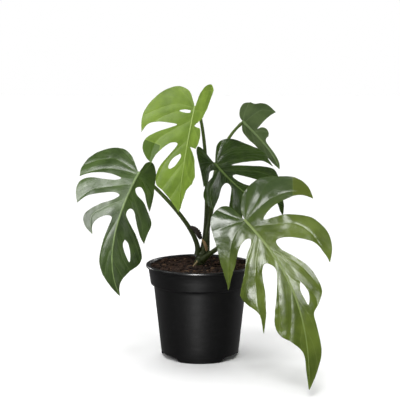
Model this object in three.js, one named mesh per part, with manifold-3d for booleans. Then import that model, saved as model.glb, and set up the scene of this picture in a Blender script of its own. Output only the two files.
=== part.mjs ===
// A young monstera (Swiss cheese plant) in a plastic nursery pot.
//
// Millimetres, +Z up. The origin is on the floor under the pot's axis, and -Y is the front.
// The plant's own points are written for its design size and placed by place(), so the
// pot, the height and the spread can each be changed by the constants below.

import * as THREE from 'three';
import { mergeVertices } from 'three/addons/utils/BufferGeometryUtils.js';
import { TessellateModifier } from 'three/addons/modifiers/TessellateModifier.js';
import Module from 'manifold-3d';

const wasm = await Module();
wasm.setup();

// ---- Driving dimensions -------------------------------------------------------------

const PLANT_HEIGHT = 427;        // floor to the top of the young leaf's blade
const FOLIAGE_SPREAD = 380;      // outermost left lobe to outermost right lobe
const RIM_DIAMETER = 170;
const POT_HEIGHT = 146;
const BASE_DIAMETER = 122;       // at the foot of the tapered wall
const COLLAR_HEIGHT = 30;        // the wider band under the rim
const COLLAR_STEP = 5;           // how far the band stands out from the wall
const LIP_WIDTH = 3.6;           // how far the rim stands out from the band
const LIP_HEIGHT = 4;
const POT_WALL = 1.8;
const FLOOR_LIFT = 8;            // the pot's floor above its three feet
const NOTCH_HEIGHT = 7;          // the gaps between the feet
const FOOT_HALF_ANGLE = 35;      // degrees
const DRAIN_HOLE_DIAMETER = 9;
const SOIL_BELOW_RIM = 4;
const STEM_DIAMETER = 16;
const STALK_DIAMETER = 8.4;      // at the foot of the two thickest leaf stalks
const STALK_END_DIAMETER = 4.6;  // where it meets the blade
const ROOT_DIAMETER = 7;
const BLADE_THICKNESS = 1.2;
const MIDRIB_DIAMETER = 4.4;     // at the foot of the blade
const GAP = 0.35;                // clearance between pieces that touch

const ROUND = 42;                // segments round the pot and the soil
const BLADE_EDGE = 25;           // longest triangle edge in a blade
const MIDRIB_STEPS = 12;
const MIDLINE_GAP = 0.2;         // from the midline to each half blade, inside the midrib
const TIP_END = 1;               // from an outline's last point to the end of its midrib

// ---- The design size of the plant ---------------------------------------------------

const DESIGN = { height: 427, spread: 380, soil: 142, rim: 85, stem: 16, stalk: 8.4 };
const SOIL_TOP = POT_HEIGHT - SOIL_BELOW_RIM;
const SIDEWAYS = FOLIAGE_SPREAD / DESIGN.spread;
const UPWARDS = (PLANT_HEIGHT - SOIL_TOP) / (DESIGN.height - DESIGN.soil);
const BLADE_SCALE = Math.sqrt(SIDEWAYS * UPWARDS);

// A point of the design plant, moved to the chosen size. Heights above the soil stretch
// with the plant, and heights below it with the pot, so a hanging tip stays off the floor.
function place([x, y, z]) {
  const rise = z - DESIGN.soil;
  const height = rise > 0 ? SOIL_TOP + rise * UPWARDS : z * SOIL_TOP / DESIGN.soil;
  return new THREE.Vector3(x * SIDEWAYS, y * BLADE_SCALE, height);
}

// A point of the crown keeps its distance from the top of the stem, whatever the spread.
const STEM_TOP = [4, -1.5];
function placeByStem([x, y, z]) {
  return place([...STEM_TOP, z]).add(new THREE.Vector3(x - STEM_TOP[0], y - STEM_TOP[1], 0));
}

// A point of a blade's spine. The lower it hangs, the more it moves out with the pot's rim,
// and forward when the foliage is narrowed, so that a hanging blade clears the pot.
function placeSpine([x, y, z]) {
  const share = THREE.MathUtils.clamp((300 - z) / 60, 0, 1);
  const out = new THREE.Vector3(x, y, 0).normalize();
  const rim = RIM_DIAMETER / 2;
  const shift = new THREE.Vector3(
    out.x * (rim - DESIGN.rim), out.y * (rim - DESIGN.rim * SIDEWAYS), 0);
  return place([x, y, z]).addScaledVector(shift, share);
}

// ---- Leaves -------------------------------------------------------------------------
//
// A blade is described flat, in mm: each point is [distance along the midrib, distance out
// from it], with the stalk joining at [0, 0]. Each inner list is one smooth stretch of the
// edge and the outline turns a corner where two stretches meet, as it does at a lobe's tip.
// The spine is the midrib's curve in space. It starts `back` mm behind the stalk, so that
// the lobes beside the stalk have a curve to follow. `face` is the way the upper side looks
// at both ends, and `fold` and `curl` (degrees, degrees per 100 mm) tilt and roll a half
// towards the upper side, at the foot and at the tip of the blade.

const LEAVES = {
  left: {
    colour: 0x4a6128,
    spine: [[-73, 20, 328], [-104, -23, 279], [-158, -56, 181], [-122, -62, 108]],
    back: 52,
    face: [[-0.5, -0.9, 0.3], [-0.3, -1, 0.1]],
    leftHalf: {
      fold: [-45, -60], curl: [0, 0],
      edge: [
        [[-10, 1], [-22, 3], [-28, 12], [-15, 25], [8, 34], [28, 41], [47, 45]],
        [[35, 33], [24, 24], [18, 14], [24, 7], [32, 13], [38, 29], [52, 45], [66, 55], [84, 55], [107, 54]],
        [[96, 44], [78, 32], [59, 20], [58, 11], [68, 9], [78, 18], [96, 36], [118, 49], [138, 54],
          [154, 47], [168, 27], [182, 9], [198, 1]],
      ],
      holes: [[[108, 18], [118, 17], [134, 24], [147, 31], [130, 32], [114, 26]]],
    },
    rightHalf: {
      fold: [0, 0], curl: [-10, -10],
      edge: [
        [[-12, 12], [-29, 31], [-38, 53], [-37, 74], [-28, 90], [-10, 103], [10, 108], [28, 102]],
        [[19, 84], [14, 62], [13, 40], [16, 24], [21, 33], [24, 54], [27, 78], [36, 94], [52, 94], [68, 84]],
        [[56, 70], [47, 48], [41, 26], [43, 13], [52, 20], [63, 40], [76, 57], [87, 62], [99, 54], [108, 39]],
        [[96, 42], [86, 36], [78, 22], [80, 12], [96, 14], [118, 18], [142, 21], [160, 18], [180, 9], [198, 1]],
      ],
      holes: [],
    },
  },
  young: {
    colour: 0x86a544,
    spine: [[0, 8, 427], [-14, -6, 363], [-28, -21, 299], [-33, -24, 231]],
    back: 38,
    face: [[-0.3, -1, 0.1], [-0.3, -1, 0]],
    leftHalf: {
      fold: [60, 60], curl: [0, 0],
      edge: [
        [[-8, 7], [-20, 22], [-26, 45], [-26, 70], [-21, 87], [-10, 95], [4, 90], [24, 66]],
        [[28, 44], [31, 22], [36, 44], [41, 66], [54, 72], [69, 60]],
        [[66, 40], [64, 22], [72, 40], [86, 66], [104, 81]],
        [[113, 79], [124, 52], [138, 27], [152, 15], [162, 1]],
      ],
      holes: [],
    },
    rightHalf: {
      fold: [0, 0], curl: [-10, -10],
      edge: [
        [[-12, 6], [-25, 15], [-30, 32], [-25, 48], [-14, 63], [4, 77], [23, 84], [49, 80]],
        [[36, 72], [30, 58], [29, 38], [30, 23], [36, 33], [46, 54], [58, 70], [73, 73], [87, 64], [94, 54]],
        [[82, 50], [68, 38], [59, 26], [60, 16], [77, 26], [95, 38], [111, 43], [125, 41], [134, 28],
          [147, 14], [162, 1]],
      ],
      holes: [
        [[5, 6], [9, 6], [10, 15], [8, 24], [5, 15]],
        [[74, 9], [79, 7], [93, 14], [99, 22], [95, 25], [83, 20]],
      ],
    },
  },
  middle: {
    colour: 0x344a1f,
    spine: [[5, 10, 327], [31, -8, 292], [59, -17, 264], [98, -21, 240]],
    back: 32,
    face: [[0.1, -0.8, 0.6], [0.2, -0.8, 0.5]],
    leftHalf: {
      fold: [0, 0], curl: [-10, -10],
      edge: [
        [[-15, 12], [-27, 23], [-31, 36], [-22, 52], [0, 67], [20, 76], [46, 79], [78, 72]],
        [[55, 69], [39, 57], [27, 40], [18, 20], [32, 35], [50, 52], [68, 63], [84, 68], [101, 61]],
        [[76, 37], [54, 25], [36, 14], [36, 7], [56, 11], [78, 22], [96, 32], [112, 36], [126, 28],
          [134, 16], [139, 3]],
        [[131, 8], [121, 17], [107, 19], [95, 12], [103, 1]],
      ],
      holes: [],
    },
    rightHalf: {
      fold: [0, 0], curl: [-40, -40],
      edge: [
        [[-14, 1], [-30, 1], [-40, 5], [-36, 11], [-22, 18], [0, 28], [18, 39]],
        [[15, 27], [6, 15], [11, 5], [14, 16], [18, 33], [26, 48], [38, 54], [50, 55]],
        [[44, 35], [36, 19], [36, 8], [46, 8], [56, 22], [68, 42], [80, 50], [94, 46]],
        [[84, 30], [76, 14], [84, 10], [94, 8], [103, 1]],
      ],
      holes: [],
    },
  },
  right: {
    colour: 0x48602a,
    spine: [[45, -48, 246], [104, -120, 192], [152, -205, 150], [150, -217, 11]],
    back: 42,
    face: [[-0.15, -0.8, 0.65], [0, -1, 0.1]],
    leftHalf: {
      fold: [0, -5], curl: [-10, -30],
      edge: [
        [[-16, 4], [-30, 13], [-45, 28], [-52, 48], [-50, 70], [-38, 92], [-18, 110], [2, 114], [25, 105]],
        [[12, 96], [6, 80], [5, 60], [8, 38], [17, 22], [24, 38], [38, 66], [50, 82], [65, 87], [84, 88],
          [104, 81], [123, 66]],
        [[108, 66], [90, 62], [74, 47], [62, 28], [61, 15], [76, 14], [96, 24], [118, 35], [138, 39],
          [155, 39], [171, 28], [182, 18], [200, 18], [232, 19], [254, 13], [282, 1]],
      ],
      holes: [[[134, 15], [146, 10], [158, 11], [169, 14], [152, 20]]],
    },
    rightHalf: {
      fold: [-10, -10], curl: [-50, -50],
      edge: [
        [[-20, 1], [-38, 3], [-48, 11], [-51, 25], [-41, 42], [-12, 58], [22, 77], [54, 97]],
        [[44, 62], [31, 38], [27, 22], [30, 13], [38, 16], [50, 34], [68, 53], [89, 80]],
        [[104, 78], [123, 73], [153, 62], [191, 63]],
        [[160, 50], [120, 38], [92, 28], [83, 18], [90, 11], [104, 9], [134, 22], [165, 36], [188, 41],
          [204, 35], [218, 18], [234, 6], [258, 4], [282, 1]],
      ],
      holes: [],
    },
  },
  upper: {
    colour: 0x55653c,
    spine: [[60, 185, 377], [87, 185, 349], [126, 185, 316], [139, 185, 279]],
    back: 22,
    face: [[-0.2, -0.6, 0.7], [-0.2, -0.6, 0.7]],
    leftHalf: {
      fold: [0, 0], curl: [0, 0],
      edge: [
        [[-10, 2], [-19, 12], [-22, 26], [-14, 39]],
        [[-7, 42], [1, 53], [12, 60], [29, 61]],
        [[26, 46], [25, 28], [26, 10], [28, 16], [32, 21], [38, 23], [44, 21], [48, 15], [48, 10],
          [54, 5], [78, 5], [94, 4], [103, 1]],
      ],
      holes: [],
    },
    rightHalf: {
      fold: [-55, -55], curl: [-60, -60],
      edge: [
        [[2, 5], [7, 11], [14, 15], [26, 17], [44, 16], [62, 15], [78, 12], [92, 8], [103, 1]],
      ],
      holes: [],
    },
  },
};

const RADIANS = Math.PI / 180;
const mix = THREE.MathUtils.lerp;

// The midrib's curve with the frame that the blade hangs on.
class Midrib {
  constructor({ spine, back, face }) {
    this.curve = new THREE.CubicBezierCurve3(...spine.map(placeSpine));
    this.total = this.curve.getLength();
    this.back = back * BLADE_SCALE;
    this.length = this.total - this.back;
    this.face = face.map((f) => new THREE.Vector3(...f).normalize());
  }

  // Origin, tangent, upper normal and left-hand direction at a distance from the stalk.
  frame(along) {
    const reach = along + this.back;
    const inside = THREE.MathUtils.clamp(reach, 0, this.total);
    const part = inside / this.total;
    const tangent = this.curve.getTangentAt(part);
    const origin = this.curve.getPointAt(part).addScaledVector(tangent, reach - inside);
    const normal = this.face[0].clone().lerp(this.face[1], part);
    normal.addScaledVector(tangent, -normal.dot(tangent)).normalize();
    return { part, tangent, origin, normal, left: normal.clone().cross(tangent) };
  }
}

// The point of the folded and curled half blade for a flat point (along, out, height).
function bladePoint(midrib, half, side, along, out, height) {
  const { part, origin, normal, left } = midrib.frame(along);
  const fold = mix(half.fold[0], half.fold[1], part) * RADIANS;
  const curl = (mix(half.curl[0], half.curl[1], part) * RADIANS) / (100 * BLADE_SCALE) || 1e-6;
  const tilt = fold + curl * out;
  const sideways = (Math.sin(tilt) - Math.sin(fold)) / curl - height * Math.sin(tilt);
  const upwards = (Math.cos(fold) - Math.cos(tilt)) / curl + height * Math.cos(tilt);
  return origin.addScaledVector(left, side * sideways).addScaledVector(normal, upwards);
}

// ---- Geometry helpers ---------------------------------------------------------------

function solid(geometry) {
  const bare = geometry.clone();
  bare.deleteAttribute('normal');
  bare.deleteAttribute('uv');
  const merged = mergeVertices(bare, 1e-3);
  return new wasm.Manifold(new wasm.Mesh({
    numProp: 3,
    vertProperties: new Float32Array(merged.attributes.position.array),
    triVerts: new Uint32Array(merged.index.array),
  }));
}

function geometryOf(manifold) {
  const mesh = manifold.getMesh();
  const geometry = new THREE.BufferGeometry();
  geometry.setAttribute('position', new THREE.BufferAttribute(mesh.vertProperties, 3));
  geometry.setIndex(new THREE.BufferAttribute(mesh.triVerts, 1));
  geometry.computeVertexNormals();
  return geometry;
}

const joined = (solids) => solids.reduce((all, next) => all.add(next));

// Moves every vertex of a geometry to bend(x, y, z).
function warped(geometry, bend) {
  const position = geometry.attributes.position;
  for (let i = 0; i < position.count; i += 1) {
    const point = bend(position.getX(i), position.getY(i), position.getZ(i));
    position.setXYZ(i, point.x, point.y, point.z);
  }
  return geometry;
}

// A closed round rod that follows a curve and tapers evenly from one end to the other.
function taperedRod(curve, startRadius, endRadius, sides, steps) {
  const rod = new THREE.CylinderGeometry(1, 1, 1, sides, steps);
  const frames = curve.computeFrenetFrames(steps);
  const rings = Array.from({ length: steps + 1 }, (unused, i) => curve.getPointAt(i / steps));
  return warped(rod, (x, y, z) => {
    const part = y + 0.5;
    const ring = Math.round(part * steps);
    const radius = mix(startRadius, endRadius, part);
    return rings[ring].clone()
      .addScaledVector(frames.normals[ring], z * radius)
      .addScaledVector(frames.binormals[ring], x * radius);
  });
}

function turned(profile) {
  const points = profile.map(([radius, height]) => new THREE.Vector2(radius, height));
  return new THREE.LatheGeometry(points, ROUND).rotateX(Math.PI / 2);
}

const crownCurve = (points) => new THREE.CubicBezierCurve3(...points.map(placeByStem));

// ---- Blades -------------------------------------------------------------------------

// How far along the midrib a half blade's tip is, at the design size.
const tipOf = ({ edge }) => edge.at(-1).at(-1)[0] + TIP_END;

// A half blade's flat outline, closed by a row of points beside the midline.
function flatHalf({ edge, holes }, side) {
  const flat = ([along, out]) => new THREE.Vector2(along, side * out).multiplyScalar(BLADE_SCALE);
  const shape = new THREE.Shape();
  const start = flat([0, MIDLINE_GAP]);
  shape.moveTo(start.x, start.y);
  for (const stretch of edge) shape.splineThru(stretch.map(flat));
  for (let i = MIDRIB_STEPS; i > 0; i -= 1) {
    const point = flat([tipOf({ edge }) * i / MIDRIB_STEPS, MIDLINE_GAP]);
    shape.lineTo(point.x, point.y);
  }
  for (const hole of holes) {
    const points = hole.map(flat);
    const path = new THREE.Path();
    path.moveTo(points[0].x, points[0].y);
    path.splineThru([...points.slice(1), points[0]]);
    shape.holes.push(path);
  }
  return shape;
}

function halfBlade(midrib, half, side) {
  const flat = new THREE.ExtrudeGeometry(flatHalf(half, side), {
    depth: BLADE_THICKNESS, bevelEnabled: false, curveSegments: 2,
  }).translate(0, 0, -BLADE_THICKNESS / 2);
  const stretch = midrib.length / (tipOf(half) * BLADE_SCALE);
  const fine = new TessellateModifier(BLADE_EDGE, 16).modify(flat);
  return solid(warped(fine, (x, y, z) => bladePoint(midrib, half, side, x * stretch, side * y, z)));
}

// The midrib stands out a little on both sides and joins the two halves. It runs MIDLINE_GAP
// past both of their ends, and its rings fall between the points of the blade's midline.
function midribRod(midrib) {
  const rod = new THREE.CylinderGeometry(1, 1, 1, 6, MIDRIB_STEPS + 1);
  return solid(warped(rod, (x, y, z) => {
    const part = y + 0.5;
    const radius = mix(MIDRIB_DIAMETER / 2, BLADE_THICKNESS * 1.3, part);
    const { origin, normal, left } = midrib.frame(mix(-MIDLINE_GAP, midrib.length + MIDLINE_GAP, part));
    return origin.addScaledVector(normal, x * radius - BLADE_THICKNESS / 4)
      .addScaledVector(left, z * radius);
  }));
}

function blade(leaf) {
  const midrib = new Midrib(leaf);
  return geometryOf(joined([
    halfBlade(midrib, leaf.leftHalf, 1),
    halfBlade(midrib, leaf.rightHalf, -1),
    midribRod(midrib),
  ]));
}

// ---- Stalks -------------------------------------------------------------------------
//
// Each stalk leaves the stem at `foot` and heads for `rise`. It comes up to the blade's
// underside from `under`, an offset from where it ends. `girth` is its thickness beside
// the thickest stalk's.

const STALKS = {
  left: { foot: [-3.8, -3.5, 164.8], rise: [5, -2, 201], under: [10, 20, -9], girth: 1 },
  young: { foot: [2.5, 4.2, 164.8], rise: [19, 10, 231], under: [15, 43, 0], girth: 0.8 },
  middle: { foot: [5, -6, 164.8], rise: [13, -8, 222], under: [14, 24, -14], girth: 0.8 },
  right: { foot: [7, -13.6, 156.6], rise: [24, -28, 176], under: [6, 16, -17], girth: 1, beside: true },
  upper: { foot: [11, 5, 164.6], rise: [12, 42, 316], under: [-20, 26, -20], girth: 0.8 },
};

// The stalks stand round the stem's top, and spread with their own thickness. The one that
// leaves the stem's side moves out with the stem's surface too.
function footShift([x, y], beside) {
  const out = new THREE.Vector3(x - STEM_TOP[0], y - STEM_TOP[1], 0);
  const wider = 0.53 * (STEM_DIAMETER - DESIGN.stem) + (STALK_DIAMETER - DESIGN.stalk) / 2;
  return beside ? out.setLength(wider)
    : out.multiplyScalar(STALK_DIAMETER / DESIGN.stalk - 1);
}

function stalk(name) {
  const { foot, rise, under, girth, beside } = STALKS[name];
  const { leftHalf, rightHalf } = LEAVES[name];
  const { origin, normal } = new Midrib(LEAVES[name]).frame(0);
  const heading = new THREE.Vector3(...under);
  const droop = Math.sin(Math.max(0, -leftHalf.fold[0], -rightHalf.fold[0]) * RADIANS);
  const tilt = Math.sin(heading.angleTo(normal));
  const clear = MIDRIB_DIAMETER / 2 + BLADE_THICKNESS / 4 + GAP
    + (droop + tilt) * STALK_END_DIAMETER / 2;
  const end = origin.clone().addScaledVector(normal, -clear);
  const approach = end.clone().addScaledVector(heading, BLADE_SCALE);
  const start = placeByStem(foot).add(footShift(foot, beside));
  const shift = start.clone().sub(place(foot));
  const curve = new THREE.CubicBezierCurve3(start, place(rise).add(shift), approach, end);
  return taperedRod(curve, girth * STALK_DIAMETER / 2, STALK_END_DIAMETER / 2, 10, 12);
}

// ---- Stem, roots and sheaths --------------------------------------------------------

const STEM_FOOT = [-3, -3, DESIGN.soil];

function stem() {
  const curve = crownCurve([STEM_FOOT, [-3, -3, 149], [4, -1.5, 153], [4, -1.5, 163]]);
  return taperedRod(curve, STEM_DIAMETER * 0.47, STEM_DIAMETER * 0.53, 14, 6);
}

// Thick roots leave the crown all round it and dive through the potting mix.
function roots(clearance) {
  const top = placeByStem(STEM_FOOT);
  const depth = SOIL_TOP - FLOOR_LIFT - POT_WALL;
  const crownFoot = top.clone().add(new THREE.Vector3(0, 0, -0.2 * depth - clearance));
  const crown = taperedRod(new THREE.LineCurve3(top.clone().setZ(top.z + clearance), crownFoot),
    STEM_DIAMETER / 2 + clearance, ROOT_DIAMETER * 0.7 + clearance, 14, 2);
  const count = 5;
  const spread = BASE_DIAMETER * 0.3;
  const branches = Array.from({ length: count }, (unused, i) => {
    const angle = (i / count) * 2 * Math.PI + 0.4;
    const out = new THREE.Vector3(Math.cos(angle), Math.sin(angle), 0);
    const start = top.clone().add(new THREE.Vector3(0, 0, -0.12 * depth));
    const knee = start.clone().addScaledVector(out, spread * 0.9);
    const end = top.clone().addScaledVector(out, spread);
    end.z -= (0.6 + 0.06 * i) * depth + clearance;
    const curve = new THREE.QuadraticBezierCurve3(start, knee, end);
    return solid(taperedRod(curve, ROOT_DIAMETER / 2 + clearance, 1.4 + clearance, 8, 8));
  });
  return joined([solid(crown), ...branches]);
}

function aerialRoot() {
  const curve = crownCurve([[-4, -12.5, 152], [-6, -14, 149], [-9, -15, 146], [-12, -16, 143.8]]);
  return taperedRod(curve, 1.6, 0.9, 8, 5);
}

// A dried membrane: a flat outline seen from the front, bowed forward in the middle.
function membrane(outline, depth, bow) {
  const shape = new THREE.Shape(outline.map(([x, z]) => new THREE.Vector2(x, z)));
  const flat = new THREE.ExtrudeGeometry(shape, { depth, bevelEnabled: false });
  const fine = new TessellateModifier(8, 12).modify(flat);
  const xs = outline.map(([x]) => x);
  const middle = (Math.min(...xs) + Math.max(...xs)) / 2;
  const half = (Math.max(...xs) - Math.min(...xs)) / 2;
  return (y) => warped(fine, (x, z, thickness) => {
    const forward = bow * (1 - ((x - middle) / half) ** 2);
    return placeByStem([x, y - forward - thickness, z]);
  });
}

const darkSheath = () => membrane(
  [[-19, 208], [-10, 200], [-2, 197], [3, 199], [1, 186], [-6, 180], [-14, 192]], 0.9, 1.5)(-9);

const drySheath = () => membrane(
  [[0, 188], [4, 184], [9, 190], [10, 178], [12, 167], [8, 170], [4, 178]], 0.8, 1)(-12.5);

// ---- Pot and soil -------------------------------------------------------------------

const RIM_RADIUS = RIM_DIAMETER / 2;
const BAND_TOP_RADIUS = RIM_RADIUS - LIP_WIDTH;
const BAND_FOOT = POT_HEIGHT - COLLAR_HEIGHT;
const BASE_RADIUS = BASE_DIAMETER / 2;
const BAND_FOOT_RADIUS = BAND_TOP_RADIUS - 0.13 * (COLLAR_HEIGHT - LIP_HEIGHT);
const WALL_TOP_RADIUS = BAND_FOOT_RADIUS - COLLAR_STEP;
const WALL_TOP = BAND_FOOT - 0.6 * COLLAR_STEP;
const BEVEL = 2.4;

// The outside of the pot from its foot to its rim.
const OUTSIDE = [
  [BASE_RADIUS - BEVEL, 0],
  [BASE_RADIUS, BEVEL],
  [WALL_TOP_RADIUS, WALL_TOP],
  [BAND_FOOT_RADIUS - 0.6, BAND_FOOT - 0.6],
  [BAND_FOOT_RADIUS, BAND_FOOT + 0.4],
  [BAND_TOP_RADIUS, POT_HEIGHT - LIP_HEIGHT - 1],
  [RIM_RADIUS, POT_HEIGHT - LIP_HEIGHT + 0.6],
  [RIM_RADIUS, POT_HEIGHT - 0.8],
  [RIM_RADIUS - 0.8, POT_HEIGHT],
];

// The inside of the tapered wall and of the collar, at a height.
function innerRadius(height) {
  if (height > BAND_FOOT) {
    const part = (height - BAND_FOOT) / (COLLAR_HEIGHT - LIP_HEIGHT - 1);
    return mix(BAND_FOOT_RADIUS, BAND_TOP_RADIUS, part) - POT_WALL;
  }
  return mix(BASE_RADIUS, WALL_TOP_RADIUS, (height - BEVEL) / (WALL_TOP - BEVEL)) - POT_WALL;
}

const inside = (height, clearance = 0) => [innerRadius(height) - clearance, height];

function potBody() {
  const floorTop = FLOOR_LIFT + POT_WALL;
  const mouth = inside(POT_HEIGHT - LIP_HEIGHT - 1);
  return solid(turned([
    [0, FLOOR_LIFT],
    inside(FLOOR_LIFT),
    [BASE_RADIUS - BEVEL - POT_WALL, 0],
    ...OUTSIDE,
    [mouth[0], POT_HEIGHT],
    mouth,
    inside(BAND_FOOT + 1),
    inside(WALL_TOP + 0.6),
    inside(floorTop),
    [0, floorTop],
  ]));
}

// The gap between two feet: a low arch with rounded shoulders, cut through the foot ring.
function footNotch(angle) {
  const half = BASE_RADIUS * Math.sin((60 - FOOT_HALF_ANGLE) * RADIANS);
  const shape = new THREE.Shape();
  shape.moveTo(-half - NOTCH_HEIGHT * 0.8, -1);
  shape.quadraticCurveTo(-half, 0, -half, NOTCH_HEIGHT * 0.6);
  shape.quadraticCurveTo(-half, NOTCH_HEIGHT, -half + NOTCH_HEIGHT * 0.5, NOTCH_HEIGHT);
  shape.lineTo(half - NOTCH_HEIGHT * 0.5, NOTCH_HEIGHT);
  shape.quadraticCurveTo(half, NOTCH_HEIGHT, half, NOTCH_HEIGHT * 0.6);
  shape.quadraticCurveTo(half, 0, half + NOTCH_HEIGHT * 0.8, -1);
  const cutter = new THREE.ExtrudeGeometry(shape, {
    depth: BASE_RADIUS, bevelEnabled: false, curveSegments: 4,
  });
  return solid(cutter.translate(0, 0, BASE_RADIUS * 0.6).rotateX(Math.PI / 2).rotateZ(angle));
}

function drainHole(angle) {
  const radius = BASE_RADIUS * 0.62;
  const hole = new THREE.CylinderGeometry(
    DRAIN_HOLE_DIAMETER / 2, DRAIN_HOLE_DIAMETER / 2, POT_WALL * 4, 12);
  return solid(hole.rotateX(Math.PI / 2)
    .translate(radius * Math.cos(angle), radius * Math.sin(angle), FLOOR_LIFT + POT_WALL / 2));
}

function pot() {
  let body = potBody();
  for (let i = 0; i < 3; i += 1) body = body.subtract(footNotch((i * 2 + 1) * Math.PI / 3));
  for (let i = 0; i < 6; i += 1) body = body.subtract(drainHole((i + 0.5) * Math.PI / 3));
  return geometryOf(body);
}

function soil() {
  const foot = FLOOR_LIFT + POT_WALL + GAP;
  const plug = solid(turned([
    [0, foot],
    inside(foot, GAP),
    inside(WALL_TOP + 0.6 + GAP / 2, GAP),
    inside(BAND_FOOT + 1 + GAP, GAP),
    inside(SOIL_TOP, GAP),
    [0, SOIL_TOP],
  ]));
  return geometryOf(plug.subtract(roots(GAP)));
}

// ---- Assembly -----------------------------------------------------------------------

const plant = new THREE.Group();

function add(name, geometry, color, roughness) {
  const material = new THREE.MeshStandardMaterial({ color, roughness, metalness: 0 });
  const mesh = new THREE.Mesh(geometry, material);
  mesh.name = name;
  plant.add(mesh);
}

add('nursery_pot', pot(), 0x1c1c1c, 0.3);
add('potting_soil', soil(), 0x35291c, 0.95);
add('root_system', geometryOf(roots(0)), 0xb9a06c, 0.8);
add('main_stem', stem().translate(0, 0, GAP), 0x39401e, 0.55);
add('aerial_root', aerialRoot(), 0x9a8a62, 0.85);
add('dark_sheath', darkSheath(), 0x1d1a14, 0.8);
add('dry_sheath', drySheath(), 0x8f744b, 0.8);
for (const [name, leaf] of Object.entries(LEAVES)) {
  add(`petiole_${name}`, stalk(name), 0x485029, 0.5);
  add(`leaf_${name}`, blade(leaf), leaf.colour, 0.4);
}

export default plant;
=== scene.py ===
# %% [markdown]
# # A young monstera in a nursery pot
#
# The plant is rebuilt around its CAD model: a glossy black plastic pot with three feet, dark
# potting mix, a short leaning stem, five leaf stalks and five cut leaves. The CAD solids
# carry the sizes. Here each of them gets the surface of the real thing.

import math
import random

import bpy
import numpy as np
from mathutils import Matrix, Vector, noise
from mathutils.geometry import delaunay_2d_cdt


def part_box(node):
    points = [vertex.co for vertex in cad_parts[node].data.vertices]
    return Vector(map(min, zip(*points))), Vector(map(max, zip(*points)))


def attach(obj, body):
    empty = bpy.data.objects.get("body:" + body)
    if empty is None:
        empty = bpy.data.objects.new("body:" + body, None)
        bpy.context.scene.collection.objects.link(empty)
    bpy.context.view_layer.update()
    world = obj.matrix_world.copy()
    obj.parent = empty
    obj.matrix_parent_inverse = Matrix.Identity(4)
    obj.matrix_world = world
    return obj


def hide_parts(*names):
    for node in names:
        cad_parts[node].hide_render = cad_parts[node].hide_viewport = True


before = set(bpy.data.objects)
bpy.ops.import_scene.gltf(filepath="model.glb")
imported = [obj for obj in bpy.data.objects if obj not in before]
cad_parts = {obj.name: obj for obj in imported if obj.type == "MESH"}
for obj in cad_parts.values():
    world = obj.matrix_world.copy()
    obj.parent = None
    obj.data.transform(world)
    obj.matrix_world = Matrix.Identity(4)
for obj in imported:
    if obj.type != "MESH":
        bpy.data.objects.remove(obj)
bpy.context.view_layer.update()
MM = 0.001
bpy.ops.object.select_all(action="DESELECT")

# %% [markdown]
# ## Small helpers
#
# Most pieces end the same way: the object sits at the origin with its place in its mesh, it
# rides on the plant's one body, it gets its material, and the CAD node it stands for is
# hidden. `finish_piece` does this for all of them. The others put an object in the scene,
# make one from points in millimetres, edit or thicken it, and store a value at each of its
# points.

# %% Pick, make and finish a piece
def select_only(piece):
    bpy.ops.object.select_all(action="DESELECT")
    bpy.context.view_layer.objects.active = piece
    piece.select_set(True)


def put_in_scene(name, data):
    made = bpy.data.objects.new(name, data)
    bpy.context.scene.collection.objects.link(made)
    return made


def new_object(name, points, faces):
    """An object from points in mm."""
    mesh = bpy.data.meshes.new(name)
    mesh.from_pydata((np.array(points) * MM).tolist(), [], faces)
    return put_in_scene(name, mesh)


def finish_piece(piece, node, material=None, smooth_angle=40):
    select_only(piece)
    bpy.ops.object.transform_apply(location=True, rotation=True, scale=True)
    if smooth_angle:
        bpy.ops.object.shade_smooth_by_angle(angle=math.radians(smooth_angle))
    if material is not None:
        piece.data.materials.clear()
        piece.data.materials.append(material)
    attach(piece, "root")
    if node:
        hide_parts(node)
    piece.select_set(False)
    print(f"{piece.name}: {len(piece.data.polygons)} faces")


def add_attribute(mesh, name, values):
    attribute = mesh.attributes.new(name, "FLOAT", "POINT")
    attribute.data.foreach_set("value", np.asarray(values, np.float32))


def edit_whole(piece, operator, **options):
    """Runs an edit-mode operator on all of one piece."""
    select_only(piece)
    bpy.ops.object.mode_set(mode="EDIT")
    bpy.ops.mesh.select_all(action="SELECT")
    operator(**options)
    bpy.ops.object.mode_set(mode="OBJECT")


def thicken(piece, thickness, material_offset=0):
    """Gives a sheet a thickness in mm, half of it on each side."""
    shell = piece.modifiers.new("thickness", "SOLIDIFY")
    shell.thickness = thickness * MM
    shell.offset = 0
    shell.material_offset = material_offset
    bpy.context.view_layer.objects.active = piece
    bpy.ops.object.modifier_apply(modifier="thickness")


# %% [markdown]
# ## Materials from nodes
#
# Every finish is a Principled shader with a few nodes that vary its colour, its roughness and
# its bump. `Shader` keeps that short: `add` makes a node, and each of its inputs is either a
# plain value or another node's output.

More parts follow.
